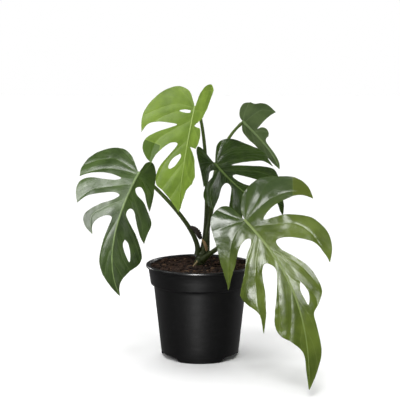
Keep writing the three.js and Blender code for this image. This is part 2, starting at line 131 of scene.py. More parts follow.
# %% A short way to build node materials
class Shader:
    """A Principled material, with short ways to add nodes to it."""

    def __init__(self, name):
        self.material = bpy.data.materials.new(name)
        self.material.use_nodes = True
        self.tree = self.material.node_tree
        self.principled = self.tree.nodes["Principled BSDF"]

    def add(self, kind, settings=None, **inputs):
        made = self.tree.nodes.new(kind)
        for key, value in (settings or {}).items():
            setattr(made, key, value)
        self.set(made, **inputs)
        return made

    def set(self, made, **inputs):
        for key, value in inputs.items():
            socket = made.inputs[int(key[1:])] if key[1:].isdigit() else (
                made.inputs[key.replace("_", " ")])
            if isinstance(value, bpy.types.NodeSocket):
                self.tree.links.new(value, socket)
            else:
                socket.default_value = value

    def place(self):
        return self.add("ShaderNodeTexCoord").outputs["Object"]

    def noise(self, vector, scale, detail=4.0, roughness=0.55, distortion=0.0):
        return self.add("ShaderNodeTexNoise", Vector=vector, Scale=scale, Detail=detail,
                        Roughness=roughness, Distortion=distortion).outputs["Fac"]

    def span(self, value, low, high, to_low=0.0, to_high=1.0, kind="SMOOTHSTEP"):
        made = self.add("ShaderNodeMapRange", {"interpolation_type": kind},
                        _0=value, _1=low, _2=high, _3=to_low, _4=to_high)
        return made.outputs[0]

    def math(self, operation, a, b=0.0):
        return self.add("ShaderNodeMath", {"operation": operation}, _0=a, _1=b).outputs[0]

    def blend(self, factor, a, b, mode="MIX"):
        made = self.add("ShaderNodeMix", {"data_type": "RGBA", "blend_type": mode},
                        _0=factor, _6=a, _7=b)
        return made.outputs[2]

    def stretched(self, vector, scale):
        return self.add("ShaderNodeMapping", Vector=vector, Scale=scale).outputs[0]

    def bump(self, height, distance, strength=1.0, normal=None):
        made = self.add("ShaderNodeBump", Height=height, Distance=distance, Strength=strength)
        if normal is not None:
            self.set(made, Normal=normal)
        return made.outputs[0]

    def attribute(self, name):
        return self.add("ShaderNodeAttribute", {"attribute_name": name}).outputs["Fac"]


def rgb(code):
    """The shader's linear colour for a screen colour such as 0x4a6128."""
    channels = [(code >> shift & 255) / 255 for shift in (16, 8, 0)]
    linear = [c / 12.92 if c <= 0.04045 else ((c + 0.055) / 1.055) ** 2.4 for c in channels]
    return (*linear, 1.0)


# %% [markdown]
# ## Camera, floor and light
#
# The plant is seen from the front at about the height of its top leaf, with a long lens that
# looks slightly down. The floor is plain white paper that shows in no reflection.
#
# A wide overhead sun gives the soft shadow round the pot and draws no gloss. A narrower one
# from the front and two softboxes shape the leaves. The other lights only draw gloss: three
# windows meant for the leaves' wax, and three strips for the pot, one for the band down its
# middle and one for each edge. The world fills the shadows, and is plain white to the camera.

# %% Camera
LOOK_DOWN = 6.93  # degrees
camera = put_in_scene("camera", bpy.data.cameras.new("camera"))
camera.location = (0, -1.5, 0.429)
camera.rotation_euler = (math.radians(90 - LOOK_DOWN), 0, 0)
camera.data.lens = 86.85
camera.data.sensor_width = 36
bpy.context.scene.camera = camera
print("camera lens, mm:", round(camera.data.lens, 2))

# %% Floor
bpy.ops.mesh.primitive_plane_add(size=60, location=(0, 0, 0))
floor = bpy.context.active_object
floor.name = "floor"
paper = Shader("white_paper")
paper.set(paper.principled, Base_Color=(0.96, 0.96, 0.96, 1), Roughness=0.9,
          Specular_IOR_Level=0.1)
floor.data.materials.append(paper.material)
floor.visible_glossy = False

# %% Lights
def hang(name, data, location, target):
    """Puts a light in the scene, turned towards its target."""
    light = put_in_scene(name, data)
    light.location = location
    direction = Vector(target) - light.location
    light.rotation_euler = direction.to_track_quat("-Z", "Y").to_euler()
    return light


def area_light(name, location, target, size, power):
    """A rectangle of light: places and size in metres, power in watts."""
    data = bpy.data.lights.new(name, "AREA")
    data.shape = "RECTANGLE"
    data.size, data.size_y = size
    data.energy = power
    return hang(name, data, location, target)


def sun(name, location, strength, spread):
    """Parallel light that comes from a disc of sky, `spread` degrees wide."""
    data = bpy.data.lights.new(name, "SUN")
    data.energy = strength
    data.angle = math.radians(spread)
    return hang(name, data, location, (0, 0, 0))


sun("front_sun", (-0.2, -0.8, 1.6), 1.15, 22)
overhead = sun("overhead_diffuser", (-0.03, 0.58, 1.6), 2.35, 56)
overhead.visible_glossy = False
area_light("left_softbox", (-1.25, -0.75, 1.05), (-0.05, 0, 0.25), (0.7, 0.8), 8)
area_light("right_softbox", (1.25, -0.6, 0.6), (0.05, 0, 0.2), (0.25, 1.0), 2.2)
pot_strips = [
    area_light("front_strip", (-0.25, -1.65, 0.2), (0, 0, 0.08), (0.22, 0.35), 72),
    area_light("left_edge_strip", (-1.3, 0.95, 0.35), (0, 0, 0.1), (0.3, 0.8), 16),
    area_light("right_edge_strip", (1.3, 0.95, 0.35), (0, 0, 0.1), (0.3, 0.8), 34),
]
leaf_windows = [
    area_light("left_window", (-1.3, -0.38, 1.05), (0.02, 0, 0.25), (0.42, 0.85), 14),
    area_light("top_window", (-0.1, -0.3, 1.5), (0.1, -0.1, 0.25), (0.16, 0.16), 1.3),
    area_light("front_window", (0.08, -1.25, 1.25), (0, 0, 0.25), (0.3, 0.2), 1.6),
]
for light in pot_strips + leaf_windows:
    light.visible_diffuse = False

# %% World
FILL = 0.12
WHITE = (1, 1, 1, 1)
world = bpy.data.worlds.new("studio")
bpy.context.scene.world = world
world.use_nodes = True
sky = world.node_tree
background = sky.nodes["Background"]
background.inputs["Color"].default_value = WHITE
background.inputs["Strength"].default_value = FILL
seen = sky.nodes.new("ShaderNodeBackground")
seen.inputs["Color"].default_value = WHITE
either = sky.nodes.new("ShaderNodeMixShader")
path = sky.nodes.new("ShaderNodeLightPath")
sky.links.new(path.outputs["Is Camera Ray"], either.inputs[0])
sky.links.new(background.outputs[0], either.inputs[1])
sky.links.new(seen.outputs[0], either.inputs[2])
sky.links.new(either.outputs[0], sky.nodes["World Output"].inputs[0])
bpy.context.scene.view_settings.view_transform = "Standard"

# %% [markdown]
# ## The nursery pot
#
# A nursery pot is one thin moulded wall: a tapered body, a wider collar that steps out below
# the rim, a small rolled lip, and a floor held off the ground by three shallow feet. It is a
# turned shape, so it starts as one circle whose edge is extruded ring by ring up the outside,
# over the lip and down the inside. The underside is turned on its own and joined on. The gaps
# between the feet and the drain holes are cut out afterwards with booleans.

# %% Pot sizes
_, pot_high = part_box("nursery_pot")
RIM_RADIUS = 85.0
POT_HEIGHT = pot_high.z / MM
BASE_RADIUS = 61.0
COLLAR_FOOT = POT_HEIGHT - 30
COLLAR_FOOT_RADIUS = 78.02
WALL_TOP_RADIUS = COLLAR_FOOT_RADIUS - 5
LIP_FOOT = POT_HEIGHT - 4
COLLAR_TOP_RADIUS = RIM_RADIUS - 3.6
POT_WALL = 1.8
FLOOR_LIFT = 8.0
SOIL_TOP = POT_HEIGHT - 4
POT_SEGMENTS = 144
SOIL_SEGMENTS = 120
print("pot height, mm:", round(POT_HEIGHT, 2), "soil at", round(SOIL_TOP, 2))

# %% A turned shape
def turned(name, profile, segments):
    """Extrudes a circle ring by ring through (radius, height) points, in mm."""
    radius, height = profile[0]
    bpy.ops.mesh.primitive_circle_add(
        vertices=segments, radius=radius * MM, location=(0, 0, height * MM))
    piece = bpy.context.active_object
    piece.name = name
    bpy.ops.object.transform_apply(location=True)
    bpy.ops.object.mode_set(mode="EDIT")
    for next_radius, next_height in profile[1:]:
        rise = (next_height - height) * MM
        bpy.ops.mesh.extrude_region_move(TRANSFORM_OT_translate={"value": (0, 0, rise)})
        grow = next_radius / radius
        bpy.ops.transform.resize(value=(grow, grow, 1), center_override=(0, 0, 0))
        radius, height = next_radius, next_height
    bpy.ops.object.mode_set(mode="OBJECT")
    return piece


def rounded(start, corner, end, steps=4):
    """Points of a curve from start to end that bends towards the corner, ends included."""
    parts = [i / steps for i in range(steps + 1)]
    return [tuple((1 - t) ** 2 * a + 2 * t * (1 - t) * c + t * t * b
                  for a, c, b in zip(start, corner, end)) for t in parts]


WALL_TOP = COLLAR_FOOT - 3
outside = [
    *rounded((BASE_RADIUS - 2.4, 0), (BASE_RADIUS - 0.4, 0.2), (BASE_RADIUS, 2.4)),
    (BASE_RADIUS + 2.2, 22), (BASE_RADIUS + 6.5, 62),
    *rounded((WALL_TOP_RADIUS - 0.4, WALL_TOP - 4), (WALL_TOP_RADIUS + 0.1, WALL_TOP + 1.2),
             (WALL_TOP_RADIUS + 1.6, WALL_TOP + 1.6)),
    *rounded((COLLAR_FOOT_RADIUS - 1.2, COLLAR_FOOT - 0.7),
             (COLLAR_FOOT_RADIUS - 0.1, COLLAR_FOOT - 0.6), (COLLAR_FOOT_RADIUS, COLLAR_FOOT + 0.8)),
    (COLLAR_FOOT_RADIUS + 1.6, COLLAR_FOOT + 12),
    *rounded((COLLAR_TOP_RADIUS, LIP_FOOT - 1), (COLLAR_TOP_RADIUS + 0.2, LIP_FOOT + 0.4),
             (RIM_RADIUS - 0.7, LIP_FOOT + 0.4)),
    *rounded((RIM_RADIUS - 0.4, LIP_FOOT + 0.5), (RIM_RADIUS, LIP_FOOT + 0.6),
             (RIM_RADIUS, LIP_FOOT + 1.2), 2),
    *rounded((RIM_RADIUS, POT_HEIGHT - 1.1), (RIM_RADIUS, POT_HEIGHT), (RIM_RADIUS - 1.1, POT_HEIGHT)),
]
inside = [
    *rounded((COLLAR_TOP_RADIUS - POT_WALL + 0.8, POT_HEIGHT),
             (COLLAR_TOP_RADIUS - POT_WALL, POT_HEIGHT),
             (COLLAR_TOP_RADIUS - POT_WALL, POT_HEIGHT - 1)),
    (COLLAR_FOOT_RADIUS - POT_WALL, COLLAR_FOOT + 2),
    (WALL_TOP_RADIUS - POT_WALL, WALL_TOP),
    (BASE_RADIUS - POT_WALL + 0.6, FLOOR_LIFT + POT_WALL + 1),
    (BASE_RADIUS - POT_WALL - 0.8, FLOOR_LIFT + POT_WALL),
]
underside = [
    (BASE_RADIUS - 4, FLOOR_LIFT), (BASE_RADIUS - 4.6, FLOOR_LIFT - 1), (BASE_RADIUS - 5, 0),
]
pot = turned("pot_body", [*outside, *inside, (0.4, FLOOR_LIFT + POT_WALL)], POT_SEGMENTS)
under = turned("pot_underside", [(0.4, FLOOR_LIFT), *underside, outside[0]], POT_SEGMENTS)

# %% Close the pot's poles
def close_rings(piece):
    """Merges doubles, fills the open rings and points every face outwards."""
    select_only(piece)
    bpy.ops.object.mode_set(mode="EDIT")
    bpy.ops.mesh.select_mode(type="EDGE")
    bpy.ops.mesh.select_all(action="SELECT")
    bpy.ops.mesh.remove_doubles(threshold=0.02 * MM)
    bpy.ops.mesh.select_all(action="DESELECT")
    bpy.ops.mesh.select_non_manifold()
    bpy.ops.mesh.fill()
    bpy.ops.mesh.select_all(action="SELECT")
    bpy.ops.mesh.normals_make_consistent(inside=False)
    bpy.ops.object.mode_set(mode="OBJECT")


select_only(pot)
under.select_set(True)
bpy.ops.object.join()
close_rings(pot)

# %% Cut the gaps between the feet and the drain holes
def cut(piece, cutter):
    modifier = piece.modifiers.new("cut", "BOOLEAN")
    modifier.operation = "DIFFERENCE"
    modifier.solver = "EXACT"
    modifier.object = cutter
    bpy.context.view_layer.objects.active = piece
    bpy.ops.object.modifier_apply(modifier="cut")
    bpy.data.objects.remove(cutter)


FEET = 3
GAP_HALF_WIDTH = 25.8
GAP_HEIGHT = 7.0
SHOULDER = 5.6  # how far a gap flares on each side at the floor
CUTTER_START = 42  # from the pot's axis, inside the wall
CUTTER_LENGTH = 30


def gap_outline():
    """Half the outline of a gap: level on top, with a round shoulder that flares at the floor."""
    middle = (GAP_HALF_WIDTH, GAP_HEIGHT / 2)
    upper = rounded((GAP_HALF_WIDTH - SHOULDER, GAP_HEIGHT), (GAP_HALF_WIDTH - 1, GAP_HEIGHT), middle)
    lower = rounded(middle, (GAP_HALF_WIDTH + 1, 0), (GAP_HALF_WIDTH + SHOULDER, 0))
    return [*upper, *lower[1:], (GAP_HALF_WIDTH + SHOULDER, -3)]


def gap_cutter(angle):
    """A bar with the gap's outline that runs out through the pot's wall at an angle."""
    half = gap_outline()
    outline = [*half, *[(-y, z) for y, z in reversed(half)]]
    turn = Matrix.Rotation(angle, 3, "Z")
    cutter = new_object("gap_cutter", [turn @ Vector((CUTTER_START, y, z)) for y, z in outline],
                        [tuple(range(len(outline)))])
    edit_whole(cutter, bpy.ops.mesh.extrude_region_move,
               TRANSFORM_OT_translate={"value": turn @ Vector((CUTTER_LENGTH, 0, 0)) * MM})
    edit_whole(cutter, bpy.ops.mesh.normals_make_consistent, inside=False)
    return cutter


for i in range(FEET):
    cut(pot, gap_cutter(math.radians(360 / FEET * i + 90)))

DRAIN_HOLES = 6
DRAIN_RADIUS = 4.5
DRAIN_CIRCLE_RADIUS = 37.8
DRAIN_CUT_DEPTH = 8
for i in range(DRAIN_HOLES):
    angle = math.radians(360 / DRAIN_HOLES * i + 30)
    place = Vector((math.cos(angle), math.sin(angle), 0)) * DRAIN_CIRCLE_RADIUS * MM
    bpy.ops.mesh.primitive_cylinder_add(
        vertices=24, radius=DRAIN_RADIUS * MM, depth=DRAIN_CUT_DEPTH * MM,
        location=place + Vector((0, 0, (FLOOR_LIFT + POT_WALL / 2) * MM)))
    cut(pot, bpy.context.active_object)
print("pot faces:", len(pot.data.polygons))

# %% [markdown]
# ### Glossy black plastic
#
# Injection-moulded polypropylene is black with a satin gloss. Handling leaves faint scuffs,
# so the roughness varies a little, and the moulded skin has a very fine ripple.

# %% Pot finish
plastic = Shader("black_moulded_plastic")
where = plastic.place()
haze = plastic.noise(where, 9.0, 3.0)
scuff = plastic.noise(plastic.stretched(where, (1.0, 1.0, 6.0)), 60.0, 6.0, 0.65)
shade = plastic.blend(haze, (0.002, 0.002, 0.0021, 1), (0.0035, 0.0035, 0.0037, 1))
worn = plastic.span(scuff, 0.45, 0.8)
plastic.set(
    plastic.principled,
    Base_Color=plastic.blend(worn, shade, (0.006, 0.006, 0.0064, 1)),
    Roughness=plastic.span(scuff, 0.2, 0.85, 0.27, 0.35, "LINEAR"),
    Normal=plastic.bump(plastic.noise(where, 1400.0, 2.0), 0.00004, 0.5),
    Specular_IOR_Level=0.34,
)
finish_piece(pot, "nursery_pot", plastic.material)

# The strips light the pot alone, so that they leave no glare on the leaves.
only_pot = bpy.data.collections.new("lit_by_the_pot_strips")
only_pot.objects.link(pot)
for light in pot_strips:
    light.light_linking.receiver_collection = only_pot

# %% [markdown]
# ## Potting mix
#
# The mix is coarse and dark: peat crumbs, bark chips and a few pale fibres. Its surface is
# never level, so a disc made of many rings is pushed up and down by layered noise, heaped a
# little round the stem. Crumbs of bark are then scattered over it, each one a small lump that
# is squashed, turned and half sunk.

# %% Soil surface
SOIL_RADIUS = COLLAR_TOP_RADIUS - POT_WALL - 0.8
SOIL_SKIRT = [(63.8, 60), (SOIL_RADIUS - 7, COLLAR_FOOT - 4), (SOIL_RADIUS - 2.4, COLLAR_FOOT + 4)]
RING_COUNT = 52
RING_STEP = 1.5
STEM_PLACE = Vector((-3, -3))
LUMP_SIZE = 16
LUMP_HEIGHT = 1.9
GRAIN_SIZE = 3.2
GRAIN_HEIGHT = 0.8
HEAP_HEIGHT = 2.5
HEAP_RADIUS = 20


def soil_height(x, y):
    """Height of the mix at a place, in mm."""
    at = Vector((x, y, 0))
    lumps = noise.fractal(at / LUMP_SIZE, 0.9, 2.2, 4) * LUMP_HEIGHT
    grains = noise.fractal(at / GRAIN_SIZE + Vector((7, 3, 1)), 0.8, 2.0, 3) * GRAIN_HEIGHT
    heap = HEAP_HEIGHT * math.exp(-((at.xy - STEM_PLACE).length / HEAP_RADIUS) ** 2)
    return SOIL_TOP - 0.8 + lumps + grains + heap


rings = [(SOIL_RADIUS - RING_STEP * i, SOIL_TOP) for i in range(RING_COUNT)]
soil = turned("soil_surface", [*SOIL_SKIRT, *rings], SOIL_SEGMENTS)
close_rings(soil)
for vertex in soil.data.vertices:
    if vertex.co.z > (SOIL_TOP - 1) * MM:
        vertex.co.z = soil_height(vertex.co.x / MM, vertex.co.y / MM) * MM

mix = Shader("potting_mix")
where = mix.place()
coarse = mix.noise(where, 260.0, 6.0, 0.7)
cells = mix.add("ShaderNodeTexVoronoi", Vector=where, Scale=420.0)
tint = mix.blend(mix.span(coarse, 0.3, 0.7), rgb(0x140c07), rgb(0x35241a))
tint = mix.blend(mix.span(mix.noise(where, 900.0, 3.0), 0.62, 0.7), tint, rgb(0x4f3a2a))
mix.set(mix.principled, Base_Color=tint, Roughness=0.92, Specular_IOR_Level=0.25,
        Normal=mix.bump(cells.outputs["Distance"], 0.0008, 0.9))
finish_piece(soil, "potting_soil", mix.material)

# %% Bark chips and crumbs
CRUMB_COUNT = 1900
CRUMB_CIRCLE_RADIUS = SOIL_RADIUS - 2.4
CRUMB_SIZES = (0.9, 2.0)
CHIP_SIZES = (2.0, 4.2)
CRUMB_SHARE = 0.6  # the rest are chips


def scattered_crumbs(count, seed):
    """One mesh of small squashed lumps, half sunk in the mix."""
    chance = random.Random(seed)
    bpy.ops.mesh.primitive_ico_sphere_add(subdivisions=1, radius=1)
    lump = bpy.context.active_object
    shape = [v.co.copy() for v in lump.data.vertices]
    faces = [tuple(p.vertices) for p in lump.data.polygons]
    bpy.data.objects.remove(lump)
    points, polygons, shades = [], [], []
    while len(shades) < count:
        distance = CRUMB_CIRCLE_RADIUS * math.sqrt(chance.random())
        turn = chance.uniform(0, 2 * math.pi)
        x, y = distance * math.cos(turn), distance * math.sin(turn)
        sizes = CRUMB_SIZES if chance.random() < CRUMB_SHARE else CHIP_SIZES
        size = chance.uniform(*sizes)
        spin = Matrix.Rotation(chance.uniform(0, 6.3), 3, "Z") @ Matrix.Rotation(
            chance.uniform(-0.7, 0.7), 3, "X")
        stretch = Vector((size * chance.uniform(0.9, 1.7), size * chance.uniform(0.6, 1.0),
                          size * chance.uniform(0.4, 0.8)))
        centre = Vector((x, y, soil_height(x, y) + 0.25 * size))
        first = len(points)
        for corner in shape:
            rough = corner * (1 + 0.35 * noise.noise(corner * 1.7 + centre))
            points.append(centre + spin @ (rough * stretch))
        polygons += [tuple(first + i for i in face) for face in faces]
        shades.append(chance.random())
    piece = new_object("soil_crumbs", points, polygons)
    add_attribute(piece.data, "shade", np.repeat(shades, len(shape)))
    return piece


crumbs = scattered_crumbs(CRUMB_COUNT, seed=11)
bark = Shader("bark_crumbs")
where = bark.place()
tone = bark.attribute("shade")
tint = bark.blend(bark.span(tone, 0.0, 0.75), rgb(0x150d08), rgb(0x3d2a1e))
tint = bark.blend(bark.span(tone, 0.9, 0.97), tint, rgb(0x6e553d))
grain = bark.noise(bark.stretched(where, (1.0, 1.0, 3.0)), 900.0, 4.0, 0.7)
bark.set(bark.principled, Base_Color=bark.blend(bark.span(grain, 0.3, 0.8), tint, rgb(0x0f0a07)),
         Roughness=0.88, Specular_IOR_Level=0.25, Normal=bark.bump(grain, 0.0004, 0.8))
finish_piece(crumbs, None, bark.material, smooth_angle=0)

# %% [markdown]
# ## Curves of the plant
#
# The leaves and stalks are grown from a few curves, in millimetres, that the CAD model uses
# too. A blade is described flat, as if pressed in a book: each point is (distance along the
# midrib, distance out from it), each inner list is one smooth stretch of the edge, and the
# outline turns a corner at each lobe's tip. The spine is the midrib's curve in space, the face
# vectors say which way the upper side looks, and fold and curl tilt and roll each half.
# The veins run from the midrib out into the lobes. An accent is a patch of another green,
# inside straight lines that are each given by a point and the direction into the patch.

# %% Leaf outlines
LEAVES = {
    "left": {
        "spine": [(-73, 20, 328), (-104, -23, 279), (-158, -56, 181), (-122, -62, 108)],
        "back": 52, "face": [(-0.5, -0.9, 0.3), (-0.3, -1, 0.1)],
        "left": {
            "fold": (-45, -60), "curl": (0, 0),
            "edge": [
                [(-10, 1), (-22, 3), (-28, 12), (-15, 25), (8, 34), (28, 41), (47, 45)],
                [(35, 33), (24, 24), (18, 14), (24, 7), (32, 13), (38, 29), (52, 45), (66, 55),
                 (84, 55), (107, 54)],
                [(96, 44), (78, 32), (59, 20), (58, 11), (68, 9), (78, 18), (96, 36), (118, 49),
                 (138, 54), (154, 47), (168, 27), (182, 9), (198, 1)],
            ],
            "holes": [
                [(108, 18), (118, 17), (134, 24), (147, 31), (130, 32), (114, 26)],
            ],
            "veins": [
                [(0, 0), (-8, 6), (-20, 9)],
                [(2, 0), (8, 13), (22, 28), (46, 44)],
                [(30, 0), (46, 18), (70, 38), (106, 54)],
                [(60, 0), (80, 16), (108, 38), (140, 52)],
                [(100, 0), (122, 12), (142, 20), (160, 30)],
                [(140, 0), (158, 10), (172, 16)],
            ],
        },
        "right": {
            "fold": (0, 0), "curl": (-10, -10),
            "edge": [
                [(-12, 12), (-29, 31), (-38, 53), (-37, 74), (-28, 90), (-10, 103), (10, 108),
                 (28, 102)],
                [(19, 84), (14, 62), (13, 40), (16, 24), (21, 33), (24, 54), (27, 78), (36, 94),
                 (52, 94), (68, 84)],
                [(56, 70), (47, 48), (41, 26), (43, 13), (52, 20), (63, 40), (76, 57), (87, 62),
                 (99, 54), (108, 39)],
                [(96, 42), (86, 36), (78, 22), (80, 12), (96, 14), (118, 18), (142, 21), (160, 18),
                 (180, 9), (198, 1)],
            ],
            "veins": [
                [(0, 0), (-16, 18), (-34, 50)],
                [(0, 0), (-10, 34), (-14, 66), (6, 104)],
                [(3, 0), (2, 30), (8, 66), (26, 101)],
                [(20, 0), (32, 32), (44, 64), (66, 84)],
                [(46, 0), (62, 24), (82, 48), (106, 40)],
                [(78, 0), (98, 8), (124, 16), (150, 19)],
                [(120, 0), (142, 8), (166, 14)],
            ],
        },
    },
    "young": {
        "spine": [(0, 8, 427), (-14, -6, 363), (-28, -21, 299), (-33, -24, 231)],
        "back": 38, "face": [(-0.3, -1, 0.1), (-0.3, -1, 0)],
        "left": {
            "fold": (60, 60), "curl": (0, 0),
            "edge": [
                [(-8, 7), (-20, 22), (-26, 45), (-26, 70), (-21, 87), (-10, 95), (4, 90), (24, 66)],
                [(28, 44), (31, 22), (36, 44), (41, 66), (54, 72), (69, 60)],
                [(66, 40), (64, 22), (72, 40), (86, 66), (104, 81)],
                [(113, 79), (124, 52), (138, 27), (152, 15), (162, 1)],
            ],
            "veins": [
                [(0, 0), (-10, 20), (-18, 48), (-14, 88)],
                [(4, 0), (8, 28), (14, 56), (12, 84)],
                [(26, 0), (36, 22), (48, 48), (62, 66)],
                [(58, 0), (74, 26), (92, 54), (106, 78)],
                [(84, 0), (102, 28), (114, 56)],
                [(112, 0), (128, 14), (138, 24)],
            ],
        },
        "right": {
            "fold": (0, 0), "curl": (-10, -10),
            "accent": [((62, 60), (1, 0.2)), ((70, 44), (0, 1))],
            "edge": [
                [(-12, 6), (-25, 15), (-30, 32), (-25, 48), (-14, 63), (4, 77), (23, 84), (49, 80)],
                [(36, 72), (30, 58), (29, 38), (30, 23), (36, 33), (46, 54), (58, 70), (73, 73),
                 (87, 64), (94, 54)],
                [(82, 50), (68, 38), (59, 26), (60, 16), (77, 26), (95, 38), (111, 43), (125, 41),
                 (134, 28), (147, 14), (162, 1)],
            ],
            "holes": [
                [(5, 6), (9, 6), (10, 15), (8, 24), (5, 15)],
                [(74, 9), (79, 7), (93, 14), (99, 22), (95, 25), (83, 20)],
            ],
            "veins": [
                [(0, 0), (-12, 12), (-26, 32)],
                [(1, 0), (-2, 26), (6, 52), (22, 80)],
                [(3, 0), (10, 28), (24, 54), (46, 79)],
                [(20, 0), (36, 24), (60, 52), (90, 58)],
                [(52, 0), (66, 14), (92, 32), (122, 42)],
                [(84, 0), (104, 14), (130, 30)],
                [(114, 0), (130, 8), (144, 16)],
            ],
        },
    },
    "middle": {
        "spine": [(5, 10, 327), (31, -8, 292), (59, -17, 264), (98, -21, 240)],
        "back": 32, "face": [(0.1, -0.8, 0.6), (0.2, -0.8, 0.5)],
        "left": {
            "fold": (0, 0), "curl": (-10, -10),
            "edge": [
                [(-15, 12), (-27, 23), (-31, 36), (-22, 52), (0, 67), (20, 76), (46, 79), (78, 72)],
                [(55, 69), (39, 57), (27, 40), (18, 20), (32, 35), (50, 52), (68, 63), (84, 68),
                 (101, 61)],
                [(76, 37), (54, 25), (36, 14), (36, 7), (56, 11), (78, 22), (96, 32), (112, 36),
                 (126, 28), (134, 16), (139, 3)],
                [(131, 8), (121, 17), (107, 19), (95, 12), (103, 1)],
            ],
            "veins": [
                [(0, 0), (-12, 14), (-28, 32)],
                [(0, 0), (-8, 26), (-4, 50), (10, 70)],
                [(3, 0), (14, 30), (36, 56), (72, 72)],
                [(14, 0), (32, 22), (60, 46), (98, 60)],
                [(34, 0), (60, 10), (92, 25), (128, 24)],
                [(74, 0), (90, 5), (106, 13), (124, 14)],
            ],
        },
        "right": {
            "fold": (0, 0), "curl": (-40, -40),
            "edge": [
                [(-14, 1), (-30, 1), (-40, 5), (-36, 11), (-22, 18), (0, 28), (18, 39)],
                [(15, 27), (6, 15), (11, 5), (14, 16), (18, 33), (26, 48), (38, 54), (50, 55)],
                [(44, 35), (36, 19), (36, 8), (46, 8), (56, 22), (68, 42), (80, 50), (94, 46)],
                [(84, 30), (76, 14), (84, 10), (94, 8), (103, 1)],
            ],
            "veins": [
                [(0, 0), (-14, 4), (-34, 7)],
                [(0, 0), (-4, 10), (2, 22), (17, 38)],
                [(12, 0), (20, 18), (30, 38), (49, 54)],
                [(36, 0), (54, 14), (70, 34), (93, 45)],
                [(70, 0), (84, 6), (98, 6)],
            ],
        },
    },
    "right": {
        "spine": [(45, -48, 246), (104, -120, 192), (152, -205, 150), (150, -217, 11)],
        "back": 42, "face": [(-0.15, -0.8, 0.65), (0, -1, 0.1)],
        "left": {
            "fold": (0, -5), "curl": (-10, -30),
            "accent": [((-9, 94.5), (19.5, 25.6)), ((32, 90), (-1, 0))],
            "edge": [
                [(-16, 4), (-30, 13), (-45, 28), (-52, 48), (-50, 70), (-38, 92), (-18, 110), (2, 114),
                 (25, 105)],
                [(12, 96), (6, 80), (5, 60), (8, 38), (17, 22), (24, 38), (38, 66), (50, 82), (65, 87),
                 (84, 88), (104, 81), (123, 66)],
                [(108, 66), (90, 62), (74, 47), (62, 28), (61, 15), (76, 14), (96, 24), (118, 35),
                 (138, 39), (155, 39), (171, 28), (182, 18), (200, 18), (232, 19), (254, 13), (282, 1)],
            ],
            "holes": [
                [(134, 15), (146, 10), (158, 11), (169, 14), (152, 20)],
            ],
            "veins": [
                [(0, 0), (-16, 10), (-44, 34)],
                [(0, 0), (-18, 34), (-36, 64), (-40, 88)],
                [(1, 0), (-8, 40), (-6, 76), (14, 110)],
                [(16, 0), (34, 30), (60, 62), (120, 67)],
                [(58, 0), (80, 8), (114, 26), (150, 38)],
                [(106, 0), (128, 6), (156, 26), (172, 26)],
                [(150, 0), (176, 8), (206, 16)],
                [(196, 0), (220, 8), (248, 12)],
            ],
        },
        "right": {
            "fold": (-10, -10), "curl": (-50, -50),
            "edge": [
                [(-20, 1), (-38, 3), (-48, 11), (-51, 25), (-41, 42), (-12, 58), (22, 77), (54, 97)],
                [(44, 62), (31, 38), (27, 22), (30, 13), (38, 16), (50, 34), (68, 53), (89, 80)],
                [(104, 78), (123, 73), (153, 62), (191, 63)],
                [(160, 50), (120, 38), (92, 28), (83, 18), (90, 11), (104, 9), (134, 22), (165, 36),
                 (188, 41), (204, 35), (218, 18), (234, 6), (258, 4), (282, 1)],
            ],
            "veins": [
                [(0, 0), (-16, 8), (-44, 18)],
                [(0, 0), (-14, 22), (-30, 46)],
                [(3, 0), (6, 26), (22, 54), (52, 92)],
                [(30, 0), (44, 20), (62, 44), (90, 78)],
                [(40, 0), (72, 30), (120, 56), (188, 62)],
                [(80, 0), (108, 10), (150, 24), (198, 37)],
                [(130, 0), (164, 10), (206, 22)],
                [(190, 0), (216, 8), (240, 5)],
            ],
        },
    },
    "upper": {
        "spine": [(60, 185, 377), (87, 185, 349), (126, 185, 316), (139, 185, 279)],
        "back": 22, "face": [(-0.2, -0.6, 0.7), (-0.2, -0.6, 0.7)],
        "left": {
            "fold": (0, 0), "curl": (0, 0),
            "edge": [
                [(-10, 2), (-19, 12), (-22, 26), (-14, 39)],
                [(-7, 42), (1, 53), (12, 60), (29, 61)],
                [(26, 46), (25, 28), (26, 10), (28, 16), (32, 21), (38, 23), (44, 21), (48, 15),
                 (48, 10), (54, 5), (78, 5), (94, 4), (103, 1)],
            ],
            "veins": [
                [(0, 0), (-8, 12), (-14, 30)],
                [(2, 0), (4, 22), (10, 44), (27, 60)],
                [(25, 0), (32, 12), (42, 21)],
                [(52, 0), (66, 3), (80, 4)],
            ],
        },
        "right": {
            "fold": (-55, -55), "curl": (-60, -60),
            "edge": [
                [(2, 5), (7, 11), (14, 15), (26, 17), (44, 16), (62, 15), (78, 12), (92, 8), (103, 1)],
            ],
            "veins": [
                [(0, 0), (6, 4), (16, 11)],
                [(18, 0), (32, 8), (48, 17)],
                [(48, 0), (64, 8), (78, 11)],
            ],
        },
    },
}
print("leaves:", list(LEAVES))

# %% [markdown]
# ## From a pressed leaf to a hanging one
#
# `Midrib` gives, for any distance along the leaf, the point of the midrib and three
# directions: along it, out of the upper side, and to the left. `bent` then carries a flat
# point to its place in space, rolling each half about the midrib.

# %% The midrib and its frame
def unit(vectors):
    return vectors / np.linalg.norm(vectors, axis=-1, keepdims=True)


